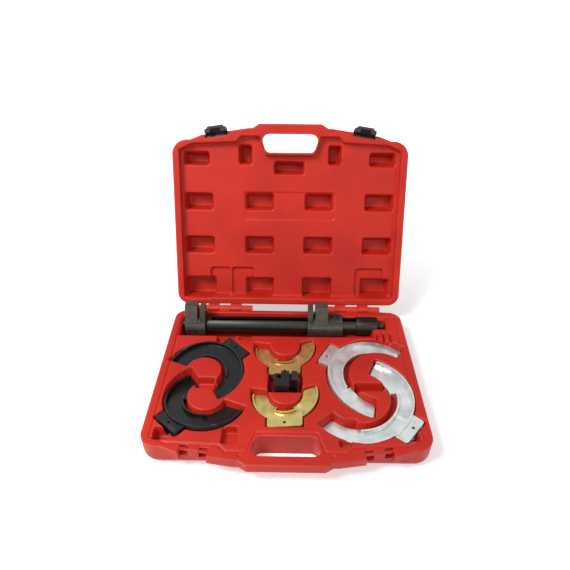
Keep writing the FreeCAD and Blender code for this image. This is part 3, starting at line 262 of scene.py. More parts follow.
def recess_drop(distance, depth, lean=WALL_LEAN, mouth=MOUTH_R):
    """Drop of a recess at a distance d from its mouth line. With u = R + start - d, the
    mouth is a quarter round, R - sqrt(R^2 - u^2). The rest of the depth falls over the
    width lean, but for a small share that falls over the foot as 3t^2 - 2t^3."""
    u = mouth + WALL_START - distance
    rounded = mouth - np.sqrt(np.maximum(mouth ** 2 - np.clip(u, 0, mouth) ** 2, 0))
    wall = (1 - FOOT_SHARE) * np.clip((u - mouth) / lean, 0, 1)
    foot = FOOT_SHARE * smooth((u - mouth - lean) / FOOT_WIDTH)
    return rounded + (depth - mouth) * (wall + foot)


def shallow_drop(distance, depth, width=2.4):
    """Drop of a shallow mark: depth times a soft step, 3t^2 - 2t^3, across its edge."""
    return depth * smooth((width / 2 - distance) / width)


SAMPLE = recess_drop(ORIGIN - 5, 20.0)[0]
print("a 20 mm recess drops", round(float(SAMPLE), 2), "mm at its floor")

# %% [markdown]
# ## What is sunk into the tray
#
# Each yoke lies a little tilted, so its recess has a tilted floor, while the walls go
# almost straight down: that way the yokes that reach into each other can still be lifted
# out one by one. The compressor lies in round cradles, wider where its jaws are and run,
# with a trough in front of it. Small pockets are finger room and stiffen the tray.

# %% Places of what lies in the tray
TRAY_GAP = 3.5              # finger room around a yoke
FLOOR_GAP = 0.1             # between a piece and the floor under it
YOKE_HEIGHT = 16.0
# kind of yoke: radii, offset of the inner circle, ends of the two arms in degrees, lug
YOKE_SHAPES = {
    "large": dict(outer=89.0, inner=57.0, shift=(-2.0, -3.0), left=107.0, right=99.0,
                  lug_end=106.0, lug_width=52.0, lug_low=21.0),
    "medium": dict(outer=69.0, inner=34.0, shift=(0.0, 0.0), left=111.0, right=107.0,
                   lug_end=84.0, lug_width=52.0, lug_low=21.0),
    "small": dict(outer=55.0, inner=30.0, shift=(-4.0, 0.0), left=108.0, right=97.0,
                  lug_end=65.0, lug_width=56.0, lug_low=18.0),
}
# kind, x, front, drop, turn in degrees, and rise in degrees along x and along front
YOKE_PLACES = {
    "yoke_large_upper": ("large", 158.3, 169.9, 8.0, 209.0, -8.0, -0.7),
    "yoke_large_lower": ("large", 119.8, 214.9, 5.0, 41.6, 4.6, -0.7),
    "yoke_medium_upper": ("medium", -146.2, 163.3, 9.0, -46.7, 4.0, -12.0),
    "yoke_medium_lower": ("medium", -133.0, 218.1, 6.0, 132.0, 0.0, 9.0),
    "yoke_small_upper": ("small", -4.9, 100.6, 4.0, 90.0, 6.0, 0.0),
    "yoke_small_lower": ("small", -3.3, 211.8, 3.0, 90.0, 6.0, 0.0),
}
TROUGH = (-208, 165, TOOL_FRONT, 75.5)
TROUGH_DEPTH = 24.0
TROUGH_LEAN = 4.0
# round hollows under the compressor: x from and to, radius, reach to the back, to the front
CRADLES = ((-208, 191.5, 16.7, 17.3, 19.0), (-203, 108.7, JAW_ROOM_R, 25.4, 25.5),
           (129.5, 191.5, 19.5, 17.3, 19.5))
CRADLE_LEAN = 0.5
DIMPLE = (69, 331, 3.2, 3.4)        # x, front, radius and depth of the marks at the handle
# pockets between the tools: x from and to, front from and to, depth
POCKETS = ((-33.5, 27.2, 164, 211, 22.2), (-205, -178, 281, 306, 20), (-100, -74, 279, 312, 14),
           (60, 112, 262, 288, 22), (78, 100, 300, 315, 12), (184, 204, 283, 303, 16),
           (112, 170, 186, 206, 20), (-156, -122, 178, 204, 16),
           (-134, -98, 66, 92, 12), (-92, -66, 66, 86, 12),
           (166, 173, 58, 86, 10), (178, 185, 58, 86, 10), (190, 197, 58, 86, 10))
POCKET_LEAN = 2.4
print(len(YOKE_PLACES), "yokes,", len(POCKETS), "pockets and", len(CRADLES), "cradles")

# %% [markdown]
# The depth of the whole tray is the deepest of all its recesses. With it come the
# distances whose edge lines the grid has to follow.

# %% Depth of the tray
def yoke_distances(place, x, f, grow):
    """Distances to a yoke's ring and to its lug, both grown by the finger gap, the drop of
    its tilted upper face, and its sizes. In its own axes u runs along the lug, v across."""
    kind, cx, cf, drop, turn, rise_x, rise_f = place
    s = YOKE_SHAPES[kind]
    turn = math.radians(turn)
    u = (x - cx) * math.cos(turn) + (f - cf) * math.sin(turn)
    v = (x - cx) * math.sin(turn) - (f - cf) * math.cos(turn)
    left = math.radians(s["left"])
    right = math.radians(s["right"])
    beyond_left = v * math.cos(left) - u * math.sin(left)
    beyond_right = -v * math.cos(right) - u * math.sin(right)
    ring = np.maximum(np.hypot(u, v) - s["outer"] - grow,
                      s["inner"] - grow - np.hypot(u - s["shift"][0], v - s["shift"][1]))
    ring = np.maximum(ring, np.minimum(beyond_left, beyond_right) - grow)
    start = min(s["outer"] - 8, s["lug_end"] - 21)
    half = s["lug_width"] / 2 + grow
    lug = box_distance(u, v, start - grow, s["lug_end"] + grow, -half, half, 5)
    tilt = drop - (x - cx) * math.tan(math.radians(rise_x)) - (f - cf) * math.tan(math.radians(rise_f))
    return ring, lug, tilt, s


def tray_drop(x, f):
    """Drop of the whole tray below the rim plane: the deepest of all recesses. A cradle's
    floor is round, axis drop + sqrt(R^2 - (front - axis)^2)."""
    groove_half = 1.5
    drops = [shallow_drop(np.abs(panel_distance(x, f) + groove_half) - groove_half, 2.2)]
    snap = []
    for place in YOKE_PLACES.values():
        ring, lug, tilt, s = yoke_distances(place, x, f, TRAY_GAP)
        drops.append(recess_drop(ring, tilt + YOKE_HEIGHT + FLOOR_GAP))
        drops.append(recess_drop(lug, tilt + s["lug_low"] + FLOOR_GAP))
        snap += [ring, lug]
    trough = box_distance(x, f, *TROUGH, 5)
    drops.append(recess_drop(trough, TROUGH_DEPTH, TROUGH_LEAN))
    snap.append(trough)
    mark_x, mark_front, mark_r, mark_depth = DIMPLE
    for side in (-1, 1):
        distance = np.hypot(x - side * mark_x, f - mark_front) - mark_r
        drops.append(recess_drop(distance, mark_depth, 0.8))
    for *rectangle, depth in POCKETS:
        distance = box_distance(x, f, *rectangle, min(5, (rectangle[1] - rectangle[0]) / 2.2))
        drops.append(recess_drop(distance, depth, POCKET_LEAN))
        snap.append(distance)
    for x0, x1, radius, behind, reach in CRADLES:
        plan = box_distance(x, f, x0, x1, TOOL_FRONT - behind, TOOL_FRONT + reach, 3)
        below_axis = np.sqrt(np.maximum(radius ** 2 - (f - TOOL_FRONT) ** 2, 0))
        drops.append(recess_drop(plan, TOOL_DROP + below_axis, CRADLE_LEAN))
        snap.append(plan)
    return np.max(drops, axis=0), snap


SAMPLE = tray_drop(ORIGIN, ORIGIN + 62)[0][0]
print("the trough is", round(float(SAMPLE), 2), "mm deep")

# %% [markdown]
# ## What is sunk into the lid
#
# The lid's inner panel lies 14 mm below its rim, because the tube, the collar and the
# adapter stand above the tray. Rows of draughted pockets make it stiff, and two of them
# take the tall jaw heads when the case is shut.

# %% Depth of the lid
PIECE_ROOM = 1.3            # a rounded mouth stands back so far from what it takes in
PANEL_DROP = 14.0
POCKET_DROP = 27.0          # of a pocket's floor below the panel
POCKET_MOUTH_R = 3.4
DRAUGHT = 5.0               # lean of a pocket's walls
STEEP = 1.0                 # lean where a jaw head goes in
COLUMNS = (-177, -58, 58, 175)
JAW_COLUMNS = (-177, 58)
JAW_SPANS = ((-200.5, -157.3), (36.0, 107.7))
# soft marks on the panel: middle, width, front from and to, depth
MARKS = ((0, 179, 169, 223, 2.0), (-137, 40, 16, 72, 6.0), (-92, 44, 16, 72, 6.0),
         (162, 55, 16, 72, 6.0))


def lid_drop(x, f):
    """Drop of the lid's inner side: the panel, on top of it each pocket's own drop, at
    least sqrt(R^2 - (front - axis)^2) - axis drop over the jaws, and soft marks."""
    panel = panel_distance(x, f) - PIECE_ROOM
    total = recess_drop(panel, PANEL_DROP, 1.2)
    snap = [panel]
    pockets = []
    for centre in COLUMNS:
        pockets.append((centre, 59, 14, 52, STEEP if centre in JAW_COLUMNS else DRAUGHT))
        pockets.append((centre, 59, 101, 136, DRAUGHT))
        pockets.append((centre, 57, 187, 221, DRAUGHT))
    pockets += [(-179, 51, 272, 299, DRAUGHT), (177, 51, 272, 299, DRAUGHT),
                (-85, 27, 274, 312, DRAUGHT), (86, 27, 274, 312, DRAUGHT), (-1, 60, 256, 282, DRAUGHT)]
    for centre, width, near, far, lean in pockets:
        distance = box_distance(x, f, centre - width / 2, centre + width / 2, near, far, 6)
        if lean == STEEP:
            distance = distance - PIECE_ROOM
        total = total + recess_drop(distance, POCKET_DROP, lean, POCKET_MOUTH_R)
        snap.append(distance)
    jaw_top = np.sqrt(np.maximum(JAW_ROOM_R ** 2 - (f - TOOL_FRONT) ** 2, 0)) - TOOL_DROP
    for x0, x1 in JAW_SPANS:
        total = np.where((x > x0) & (x < x1), np.maximum(total, jaw_top), total)
    in_pocket = smooth((total - 15) / 8)
    for centre, width, near, far, depth in MARKS:
        distance = box_distance(x, f, centre - width / 2, centre + width / 2, near, far, 6)
        total = total + shallow_drop(distance, depth, 3.0 if depth > 3 else 2.0) * (1 - in_pocket)
    return total, snap


print("lid pockets are", PANEL_DROP + POCKET_DROP, "mm below the rim at their floors")

# %% [markdown]
# ## The moulded inner skins
#
# A plain square grid would cut the recess edges into small stairs. Before the heights are
# worked out, grid points close to an edge line are therefore moved onto it, along the
# slope of the distance field. The same step lays the outer border exactly on the rim.

# %% A grid that follows the edges
GRID = 1.25                 # grid step
FRONT_END = 349.0           # the grid runs from the hinge side to beyond the handle
SLACK = 0.3                 # points up to this far past the outline are kept
BORDER_REACH = 0.75         # in grid steps; the border takes points from further away
SEAM = 0.05                 # each rim face stays this far from the plane where they meet


def snap_to(x, f, distance_of, level, free, reach=0.5):
    """Move free points within reach grid steps of a level line of a distance field d onto
    it, by -(d - level) grad d / |grad d|^2. Moved points are no longer free."""
    e = 0.05
    here = distance_of(x, f)
    gx = (distance_of(x + e, f) - distance_of(x - e, f)) / (2 * e)
    gf = (distance_of(x, f + e) - distance_of(x, f - e)) / (2 * e)
    length = np.maximum(gx ** 2 + gf ** 2, 0.25)
    off = here - level
    moved = free & (np.abs(off) < reach * GRID)
    x = np.where(moved, x - off * gx / length, x)
    f = np.where(moved, f - off * gf / length, f)
    return x, f, free & ~moved


def edge_drop(distance):
    """Rounded outer edge, R - sqrt(R^2 - (d + R)^2): zero inside, 1.2 mm at the border."""
    u = np.clip(distance + EDGE_ROUND, 0, EDGE_ROUND)
    return EDGE_ROUND - np.sqrt(np.maximum(EDGE_ROUND ** 2 - u ** 2, EDGE_SHORT ** 2))


SAMPLE = edge_drop(ORIGIN)[0]
print("the rim's rounded edge falls", round(float(SAMPLE), 2), "mm at the border")

# %% [markdown]
# Each half's inner side is made in two strips. A strip keeps the grid's faces that lie
# within the outline and outside the hand hole.

# %% Inner skins
def grid_quads(shape):
    """Point numbers of each quad of a grid, in rows and columns as the grid has them."""
    index = np.arange(shape[0] * shape[1]).reshape(shape)
    return np.stack([index[:-1, :-1], index[:-1, 1:], index[1:, 1:], index[1:, :-1]], axis=-1)


def inner_skin(half, x0, x1, name):
    """One strip of a half's inner side as a height over a fitted grid, its faces kept
    where they lie within the outline and outside the hand hole."""
    drop_of = tray_drop if half == "base" else lid_drop
    edge_of = base_outline_distance if half == "base" else outline_distance
    xs = np.linspace(x0, x1, int(round((x1 - x0) / GRID)) + 1)
    fs = np.linspace(0, FRONT_END, int(round(FRONT_END / GRID)) + 1)
    x, f = np.meshgrid(xs, fs)
    free = np.ones(x.shape, bool)
    free[:, 0] &= abs(x0) > HALF_WIDTH
    free[:, -1] &= abs(x1) > HALF_WIDTH
    x, f, free = snap_to(x, f, edge_of, 0.04, free, BORDER_REACH)
    x, f, free = snap_to(x, f, hand_hole_distance, -0.04, free, BORDER_REACH)
    count = len(drop_of(x[:1, :1], f[:1, :1])[1])
    for level in (WALL_START, WALL_START - WALL_LEAN):
        for i in range(count):
            x, f, free = snap_to(x, f, lambda a, b: drop_of(a, b)[1][i], level, free)
    drop, _ = drop_of(x, f)
    outer = edge_of(x, f)
    hole = hand_hole_distance(x, f)
    near_rim = drop < 3.5
    drop = drop + np.where(near_rim, edge_drop(outer) + edge_drop(-hole), 0) + SEAM
    inside = (outer < SLACK) & (hole > -SLACK)
    corner = inside[:-1, :-1] & inside[1:, :-1] & inside[:-1, 1:] & inside[1:, 1:]
    quads = grid_quads(x.shape)[corner]
    if half == "base":
        quads = quads[:, ::-1]
    points = to_world(half, x.ravel(), f.ravel(), drop.ravel())
    return make_mesh(name, points, quads)


def make_mesh(name, points, faces, smooth_angle=None):
    """Mesh object from arrays of points and of equal-sided faces; unused points dropped."""
    used, renumbered = np.unique(faces, return_inverse=True)
    faces = renumbered.reshape(faces.shape)
    mesh = bpy.data.meshes.new(name)
    mesh.from_pydata(points[used].tolist(), [], faces.tolist())
    mesh.validate()
    mesh.polygons.foreach_set("use_smooth", np.ones(len(mesh.polygons), bool))
    if smooth_angle:
        mesh.set_sharp_from_angle(angle=math.radians(smooth_angle))
    piece = bpy.data.objects.new(name, mesh)
    bpy.context.scene.collection.objects.link(piece)
    return piece


skins = []
for half in ("base", "lid"):
    for x0, x1, side in ((-HALF_WIDTH - 0.5, 0.0, "left"), (0.0, HALF_WIDTH + 0.5, "right")):
        skin = inner_skin(half, x0, x1, half + "_inner_skin_" + side)
        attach(skin, half)
        skins.append(skin)
        print(skin.name, len(skin.data.polygons), "faces")

# %% [markdown]
# ## The moulded outer shells
#
# Outside, the case is plain: straight walls, a rounded change to the closed face, hinge
# knuckles and the latch ears. The CAD solid already has that shape, so the outer shell is
# a merged copy of it from which everything inside the rim is taken away, with the edge at
# the rim lowered to meet the rounded border of the inner skin.

# %% Outer shells from the CAD solids
def merged_triangles(source):
    """Points and triangles of a mesh as arrays, with points at one place made one."""
    points = np.zeros(len(source.vertices) * 3)
    source.vertices.foreach_get("co", points)
    points = points.reshape(-1, 3)
    source.calc_loop_triangles()
    faces = np.zeros(len(source.loop_triangles) * 3, int)
    source.loop_triangles.foreach_get("vertices", faces)
    faces = faces.reshape(-1, 3)
    merged, where = np.unique(np.round(points, 6), axis=0, return_inverse=True)
    faces = where.reshape(-1)[faces]
    first, second, third = faces.T
    return merged, faces[(first != second) & (second != third) & (third != first)]


def outer_shell(half):
    """Copy of a CAD half without its rim face, recesses and sealed hollow."""
    merged, faces = merged_triangles(nodes[SOLID[half]].data)
    x, f, drop = to_case(half, merged[faces].mean(axis=1))
    within = -block_distance(x, f)
    to_closed_face = HEIGHT[half] - drop
    r = CLOSED_EDGE_R
    rounded = np.abs(np.hypot(r - within, r - to_closed_face) - r) < 0.45
    keep = np.abs(within) < 0.25
    keep |= to_closed_face < 0.05
    keep |= rounded & (within < r + 0.1) & (to_closed_face < r + 0.1)
    at_hole = np.abs(hand_hole_distance(x, f)) < 0.6
    keep |= at_hole
    keep |= (f > BODY_DEPTH + 0.05) | (f < -0.05)
    if half == "base":
        keep |= (catch_distance(x, f) < 0.1) & (drop < CATCH_HEIGHT + 0.1)
    panel = panel_distance(x, f)
    on_wall = (np.abs(outline_distance(x, f)) < 0.2) | at_hole
    panel_floor = 3.2 if half == "base" else PANEL_DROP + 0.3
    sunk = (panel < 0.6) & (drop < panel_floor) & ~on_wall
    rim_face = (np.abs(drop) < 0.01) & (f > -0.05)
    faces = faces[keep & ~sunk & ~rim_face]
    px, pf, pdrop = to_case(half, merged)
    top = (np.abs(pdrop) < 0.01) & (pf > -0.05)
    pdrop = np.where(top, EDGE_ROUND - EDGE_SHORT, pdrop)
    return make_mesh(half + "_outer_shell", to_world(half, px, pf, pdrop), faces, 32)


for half in ("base", "lid"):
    shell = outer_shell(half)
    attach(shell, half)
    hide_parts(SOLID[half])
    skins.append(shell)
    print(shell.name, len(shell.data.polygons), "faces")

# %% [markdown]
# ## Shared surface effects
#
# Three effects return in several finishes: a fine grain for the bump, cloudy variation of
# colour, and wear along edges. Each is a node group with named inputs, so that every
# material uses the same nodes with its own values.

# %% Node groups
def new_group(name, inputs, outputs):
    """Empty shader group with float inputs and the given outputs."""
    group = bpy.data.node_groups.new(name, "ShaderNodeTree")
    for label, value in inputs:
        socket = group.interface.new_socket(label, in_out="INPUT", socket_type="NodeSocketFloat")
        socket.default_value = value
    for label in outputs:
        group.interface.new_socket(label, in_out="OUTPUT", socket_type="NodeSocketFloat")
    return group, group.nodes.new("NodeGroupInput"), group.nodes.new("NodeGroupOutput")


def make_grain():
    """Fine grain from 0 to 1: a fine and a coarser noise, mixed by the coarse share."""
    group, given, out = new_group("fine_grain", [("Scale", 900.0), ("Coarse share", 0.4)], ["Height"])
    place = group.nodes.new("ShaderNodeTexCoord")
    fine = group.nodes.new("ShaderNodeTexNoise")
    coarse = group.nodes.new("ShaderNodeTexNoise")
    fine.inputs["Detail"].default_value = 3
    coarse.inputs["Detail"].default_value = 4
    coarser = group.nodes.new("ShaderNodeMath")
    coarser.operation = "MULTIPLY"
    coarser.inputs[1].default_value = 0.13
    mix = group.nodes.new("ShaderNodeMix")
    link = group.links.new
    link(place.outputs["Object"], fine.inputs["Vector"])
    link(place.outputs["Object"], coarse.inputs["Vector"])
    link(given.outputs["Scale"], fine.inputs["Scale"])
    link(given.outputs["Scale"], coarser.inputs[0])
    link(coarser.outputs[0], coarse.inputs["Scale"])
    link(given.outputs["Coarse share"], mix.inputs[0])
    link(fine.outputs["Fac"], mix.inputs[2])
    link(coarse.outputs["Fac"], mix.inputs[3])
    link(mix.outputs[0], out.inputs["Height"])
    return group


def make_clouds():
    """Slow variation over tens of millimetres, stretched to fill 0 to 1."""
    group, given, out = new_group("cloudy_variation", [("Scale", 30.0)], ["Mask"])
    place = group.nodes.new("ShaderNodeTexCoord")
    noise = group.nodes.new("ShaderNodeTexNoise")
    noise.inputs["Detail"].default_value = 5
    spread = group.nodes.new("ShaderNodeMapRange")
    spread.inputs["From Min"].default_value = 0.3
    spread.inputs["From Max"].default_value = 0.7
    link = group.links.new
    link(place.outputs["Object"], noise.inputs["Vector"])
    link(given.outputs["Scale"], noise.inputs["Scale"])
    link(noise.outputs["Fac"], spread.inputs["Value"])
    link(spread.outputs[0], out.inputs["Mask"])
    return group


def make_edge_wear():
    """Mask of outer edges: pointiness of the surface, broken up by noise."""
    group, given, out = new_group("edge_wear", [("Amount", 0.5), ("Scale", 120.0)], ["Mask"])
    shape = group.nodes.new("ShaderNodeNewGeometry")
    place = group.nodes.new("ShaderNodeTexCoord")
    noise = group.nodes.new("ShaderNodeTexNoise")
    noise.inputs["Detail"].default_value = 4
    edges = group.nodes.new("ShaderNodeMapRange")
    edges.inputs["From Min"].default_value = 0.515
    edges.inputs["From Max"].default_value = 0.60
    broken = group.nodes.new("ShaderNodeMath")
    broken.operation = "MULTIPLY"
    scaled = group.nodes.new("ShaderNodeMath")
    scaled.operation = "MULTIPLY"
    scaled.use_clamp = True
    link = group.links.new
    link(shape.outputs["Pointiness"], edges.inputs["Value"])
    link(place.outputs["Object"], noise.inputs["Vector"])
    link(given.outputs["Scale"], noise.inputs["Scale"])
    link(edges.outputs[0], broken.inputs[0])
    link(noise.outputs["Fac"], broken.inputs[1])
    link(broken.outputs[0], scaled.inputs[0])
    link(given.outputs["Amount"], scaled.inputs[1])
    link(scaled.outputs[0], out.inputs["Mask"])
    return group


GRAIN = make_grain()
CLOUDS = make_clouds()
WEAR = make_edge_wear()
print("node groups:", [group.name for group in bpy.data.node_groups])

# %% [markdown]
# ## Finishes
#
# The case is satin polyethylene. The tool steel is dark phosphate, oily and a little
# uneven. The yokes are forged or cast and then coated: bright zinc on the large pair,
# black on the medium pair, and yellow passivated zinc on the small pair. One function
# builds a finish from these choices: two colours mixed by the clouds, a third on worn
# edges, and grain as bump.

# %% Material builder and all finishes
def colour(red, green, blue):
    """Linear colour from the usual 0-255 values."""
    s = np.array([red, green, blue]) / 255
    linear = np.where(s <= 0.04045, s / 12.92, ((s + 0.055) / 1.055) ** 2.4)
    return (*linear.tolist(), 1.0)


def mix_colours(tree, factor, first, second):
    """Colour Mix node from factor socket; first and second are sockets or colours."""
    mix = tree.nodes.new("ShaderNodeMix")
    mix.data_type = "RGBA"
    tree.links.new(factor, mix.inputs[0])
    for socket, value in ((mix.inputs[6], first), (mix.inputs[7], second)):
        if isinstance(value, tuple):
            socket.default_value = value
        else:
            tree.links.new(value, socket)
    return mix.outputs[2]


def finish(name, main, second, worn, roughness, metallic=0.0, cloud_scale=25.0, grain_scale=900.0,
           grain_share=0.4, bump=0.15, bump_depth=0.0004, wear=0.6, specular=0.5, rough_spread=0.1):
    """Principled material: main and second colour by clouds, worn colour on edges, grain
    in the bump and in the roughness."""
    material = bpy.data.materials.new(name)
    material.use_nodes = True
    tree = material.node_tree
    shader = tree.nodes["Principled BSDF"]
    shader.inputs["Metallic"].default_value = metallic
    shader.inputs["Specular IOR Level"].default_value = specular
    clouds = tree.nodes.new("ShaderNodeGroup")
    clouds.node_tree = CLOUDS
    clouds.inputs["Scale"].default_value = cloud_scale
    edges = tree.nodes.new("ShaderNodeGroup")
    edges.node_tree = WEAR
    edges.inputs["Amount"].default_value = wear
    grain = tree.nodes.new("ShaderNodeGroup")
    grain.node_tree = GRAIN
    grain.inputs["Scale"].default_value = grain_scale
    grain.inputs["Coarse share"].default_value = grain_share
    body = mix_colours(tree, clouds.outputs["Mask"], main, second)
    tree.links.new(mix_colours(tree, edges.outputs["Mask"], body, worn), shader.inputs["Base Color"])
    rough = tree.nodes.new("ShaderNodeMapRange")
    rough.inputs["To Min"].default_value = roughness - rough_spread / 2
    rough.inputs["To Max"].default_value = roughness + rough_spread / 2
    tree.links.new(grain.outputs["Height"], rough.inputs["Value"])
    tree.links.new(rough.outputs[0], shader.inputs["Roughness"])
    raised = tree.nodes.new("ShaderNodeBump")
    raised.inputs["Strength"].default_value = bump
    raised.inputs["Distance"].default_value = bump_depth
    tree.links.new(grain.outputs["Height"], raised.inputs["Height"])
    tree.links.new(raised.outputs["Normal"], shader.inputs["Normal"])
    return material


FINISHES = {
    "red_polyethylene": finish("red_polyethylene", colour(192, 38, 23), colour(172, 30, 19),
                               colour(222, 84, 64), 0.46, wear=0.5, bump=0.25, bump_depth=0.0002,
                               cloud_scale=14.0, specular=0.32),
    "black_polypropylene": finish("black_polypropylene", colour(24, 25, 26), colour(32, 33, 34),
                                  colour(80, 80, 80), 0.45, wear=0.4),
    "dark_phosphate": finish("dark_phosphate", colour(26, 26, 23), colour(18, 18, 16),
                             colour(92, 88, 80), 0.42, 0.5, cloud_scale=60.0, grain_scale=1400.0,
                             bump=0.25, bump_depth=0.0002, wear=0.8, rough_spread=0.2),
    "jaw_steel": finish("jaw_steel", colour(54, 51, 43), colour(37, 35, 30), colour(132, 126, 110),
                        0.5, 0.45, cloud_scale=70.0, grain_scale=700.0, grain_share=0.7, bump=0.4,
                        bump_depth=0.0004, wear=0.9, rough_spread=0.2),
    "black_oxide": finish("black_oxide", colour(24, 23, 22), colour(17, 16, 16), colour(80, 77, 74),
                          0.4, 0.4, cloud_scale=80.0, grain_scale=900.0, wear=0.6, rough_spread=0.2),
    "black_coating": finish("black_coating", colour(17, 18, 18), colour(25, 26, 26),
                            colour(104, 108, 106), 0.28, 0.25, cloud_scale=50.0, grain_scale=500.0,
                            grain_share=0.6, bump=0.3, bump_depth=0.0005, wear=0.7, rough_spread=0.2,
                            specular=0.34),
    "bright_zinc": finish("bright_zinc", colour(222, 226, 225), colour(184, 190, 191),
                          colour(250, 252, 253), 0.3, 0.8, cloud_scale=45.0, grain_scale=420.0,
                          grain_share=0.7, bump=0.35, bump_depth=0.0006, wear=1.0, rough_spread=0.25),
    "golden_zinc": finish("golden_zinc", colour(204, 176, 112), colour(160, 136, 84),
                          colour(252, 240, 190), 0.29, 0.8, cloud_scale=60.0, grain_scale=420.0,
                          grain_share=0.7, bump=0.35, bump_depth=0.0006, wear=1.0, rough_spread=0.25),
    "green_zinc": finish("green_zinc", colour(206, 190, 116), colour(166, 152, 90),
                         colour(250, 244, 184), 0.26, 0.85, cloud_scale=60.0, grain_scale=420.0,
                         grain_share=0.7, bump=0.35, bump_depth=0.0006, wear=1.0, rough_spread=0.25),
    "bright_steel": finish("bright_steel", colour(190, 190, 188), colour(160, 160, 160),
                           colour(230, 230, 230), 0.3, 1.0, cloud_scale=90.0, wear=0.5),
}
print("finishes:", ", ".join(FINISHES))

# %% [markdown]
# ## Dressing the CAD pieces
#
# The steel pieces already have their right shape in the frame, only with knife-sharp
# edges. A Weld modifier joins each mesh, a Bevel rounds what is sharper than a set angle,
# and the finish goes into the piece's material slot. Rounded edges catch the light as the
# tumbled and forged edges of the real pieces do.

# %% Soft edges and finishes for the CAD nodes
def dress(node, finish_name, edge=None, angle=38.0):
    """Give a CAD node its finish and, where edge is set, rounded edges of that width in mm."""
    piece = nodes[node]
    piece.data.materials.clear()
    piece.data.materials.append(FINISHES[finish_name])
    if edge:
        weld = piece.modifiers.new("join", "WELD")
        weld.merge_threshold = 0.000004
        bevel = piece.modifiers.new("soft_edges", "BEVEL")
        bevel.width = edge * MM
        bevel.segments = 2
        bevel.limit_method = "ANGLE"
        bevel.angle_limit = math.radians(angle)
        bevel.harden_normals = True
        bevel.use_clamp_overlap = True


for skin in skins:
    skin.data.materials.append(FINISHES["red_polyethylene"])
for node in ("latch_left", "latch_right"):
    dress(node, "black_polypropylene", 0.5)
for node in ("slotted_tube", "end_cap", "spindle", "drive_nut", "end_plug"):
    dress(node, "dark_phosphate", 0.4 if node != "spindle" else None)
for node in ("fixed_jaw", "travelling_jaw"):
    dress(node, "jaw_steel", 1.8)
dress("adapter_block", "black_oxide", 0.8)
for node in ("yoke_large_upper", "yoke_large_lower"):
    dress(node, "bright_zinc", 0.9)
for node in ("yoke_medium_upper", "yoke_medium_lower"):
    dress(node, "black_coating", 0.9)
dress("yoke_small_upper", "golden_zinc", 0.9)
dress("yoke_small_lower", "green_zinc", 0.9)
for node in nodes:
    if node.startswith(("detent", "thrust", "hinge_pins", "latch_pins")):
        dress(node, "bright_steel")
    if node.endswith("_screws") or node == "retaining_ring":
        dress(node, "black_oxide")
print("dressed", len(nodes), "nodes")

# %% Floor
def make_floor():
    """Wide sheet just under the case that rises far behind it: z = 0.35 (y - 2)^2 there."""
    x, y = np.meshgrid(np.linspace(-4, 4, 41), np.linspace(-3, 5, 41))
    below = 0.0005
    z = 0.35 * np.maximum(y - 2.0, 0) ** 2 - below
    points = np.stack([x.ravel(), y.ravel(), z.ravel()], axis=-1)
    return make_mesh("studio_floor", points, grid_quads(x.shape).reshape(-1, 4))


def seen_rays(tree):
    """1 for rays from the camera, in a mirror-like reflection or through glass, else 0."""
    rays = tree.nodes.new("ShaderNodeLightPath")
    total = rays.outputs["Is Camera Ray"]
    for label in ("Is Glossy Ray", "Is Transmission Ray"):
        either = tree.nodes.new("ShaderNodeMath")
        either.operation = "MAXIMUM"
        tree.links.new(total, either.inputs[0])
        tree.links.new(rays.outputs[label], either.inputs[1])
        total = either.outputs[0]
    return total


def make_paper():
    paper = bpy.data.materials.new("pale_paper")
    paper.use_nodes = True
    tree = paper.node_tree
    shader = tree.nodes["Principled BSDF"]
    shader.inputs["Base Color"].default_value = (0.86, 0.86, 0.86, 1)
    shader.inputs["Roughness"].default_value = 0.9
    shader.inputs["Emission Color"].default_value = (1, 1, 1, 1)
    place = tree.nodes.new("ShaderNodeTexCoord")
    far = tree.nodes.new("ShaderNodeVectorMath")
    far.operation = "LENGTH"
    whiter = tree.nodes.new("ShaderNodeMapRange")
    whiter.inputs["From Min"].default_value = 0.3
    whiter.inputs["From Max"].default_value = 0.9
    whiter.inputs["To Min"].default_value = 0.42
    whiter.inputs["To Max"].default_value = 1.0
    glow = tree.nodes.new("ShaderNodeMath")
    glow.operation = "MULTIPLY"
    tree.links.new(place.outputs["Object"], far.inputs[0])
    tree.links.new(far.outputs["Value"], whiter.inputs["Value"])
    tree.links.new(whiter.outputs[0], glow.inputs[0])
    tree.links.new(seen_rays(tree), glow.inputs[1])
    tree.links.new(glow.outputs[0], shader.inputs["Emission Strength"])
    return paper


floor = make_floor()
floor.data.materials.append(make_paper())
print(floor.name, "with", floor.data.materials[0].name)

# %% [markdown]
# ## Light
#
# Soft studio light: a lamp high on the left models the recesses, and a weaker and wider
# one from the right fills them. The world is white where it is seen and dimmer as light.

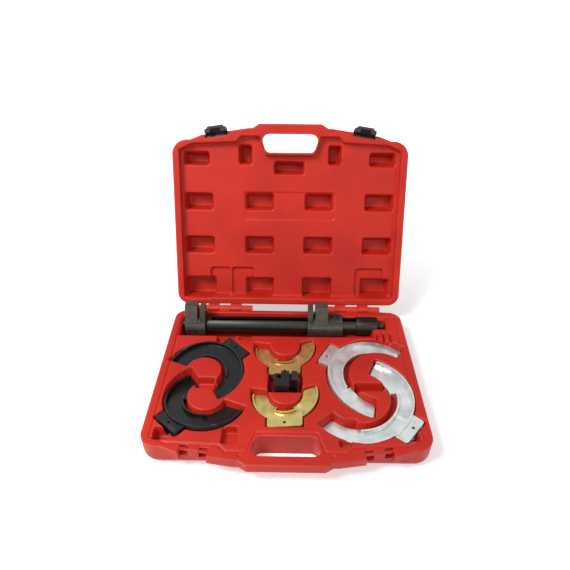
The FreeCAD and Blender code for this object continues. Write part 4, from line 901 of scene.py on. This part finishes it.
# %% World and lamps
world = bpy.data.worlds.new("studio_world")
bpy.context.scene.world = world
world.use_nodes = True
tree = world.node_tree
background = tree.nodes["Background"]
background.inputs["Color"].default_value = (1, 1, 1, 1)
strength = tree.nodes.new("ShaderNodeMapRange")
strength.inputs["To Min"].default_value = 0.32
strength.inputs["To Max"].default_value = 1.0
tree.links.new(seen_rays(tree), strength.inputs["Value"])
tree.links.new(strength.outputs[0], background.inputs["Strength"])


def lamp(name, place, target, size, power):
    """Square area lamp at a place, looking at a target point."""
    data = bpy.data.lights.new(name, "AREA")
    data.size = size
    data.energy = power
    obj = bpy.data.objects.new(name, data)
    bpy.context.scene.collection.objects.link(obj)
    obj.location = place
    obj.rotation_euler = (Vector(target) - Vector(place)).to_track_quat("-Z", "Y").to_euler()
    return obj


lamp("key_lamp", (-0.9, -0.5, 1.5), (0, 0.05, 0.05), 0.6, 29)
lamp("fill_lamp", (1.2, -1.1, 1.1), (0, 0.1, 0.1), 1.0, 8)

# %% [markdown]
# ## Camera
#
# The camera stands in front of the open case and looks down at it by 36.5 degrees. Its
# direction is given by three axes, right, up and forward, and hardly turns sideways.

# %% Camera
def camera_axes(down, sideways, roll):
    """Right, up and forward vectors of a camera that looks along +Y before it is turned."""
    down, sideways, roll = np.radians([down, sideways, roll])
    forward = np.array([math.sin(sideways) * math.cos(down), math.cos(sideways) * math.cos(down),
                        -math.sin(down)])
    right = np.array([math.cos(sideways), -math.sin(sideways), 0])
    up = np.cross(right, forward)
    return (right * math.cos(roll) + up * math.sin(roll),
            up * math.cos(roll) - right * math.sin(roll), forward)


CAMERA_PLACE = (-0.68, BACK_Y - 748.17, RIM_Z + 618.25)
right, up, forward = camera_axes(down=36.477, sideways=-0.448, roll=0.480)
data = bpy.data.cameras.new("front_camera")
data.lens = 30.457
data.sensor_width = 36.0
camera = bpy.data.objects.new("front_camera", data)
bpy.context.scene.collection.objects.link(camera)
place = np.array(CAMERA_PLACE) * MM
matrix = np.eye(4)
matrix[:3, 0] = right
matrix[:3, 1] = up
matrix[:3, 2] = -forward
matrix[:3, 3] = place
camera.matrix_world = Matrix(matrix.tolist())
bpy.context.scene.camera = camera
bpy.context.scene.view_settings.view_transform = "Standard"
print("camera at", place.round(3))
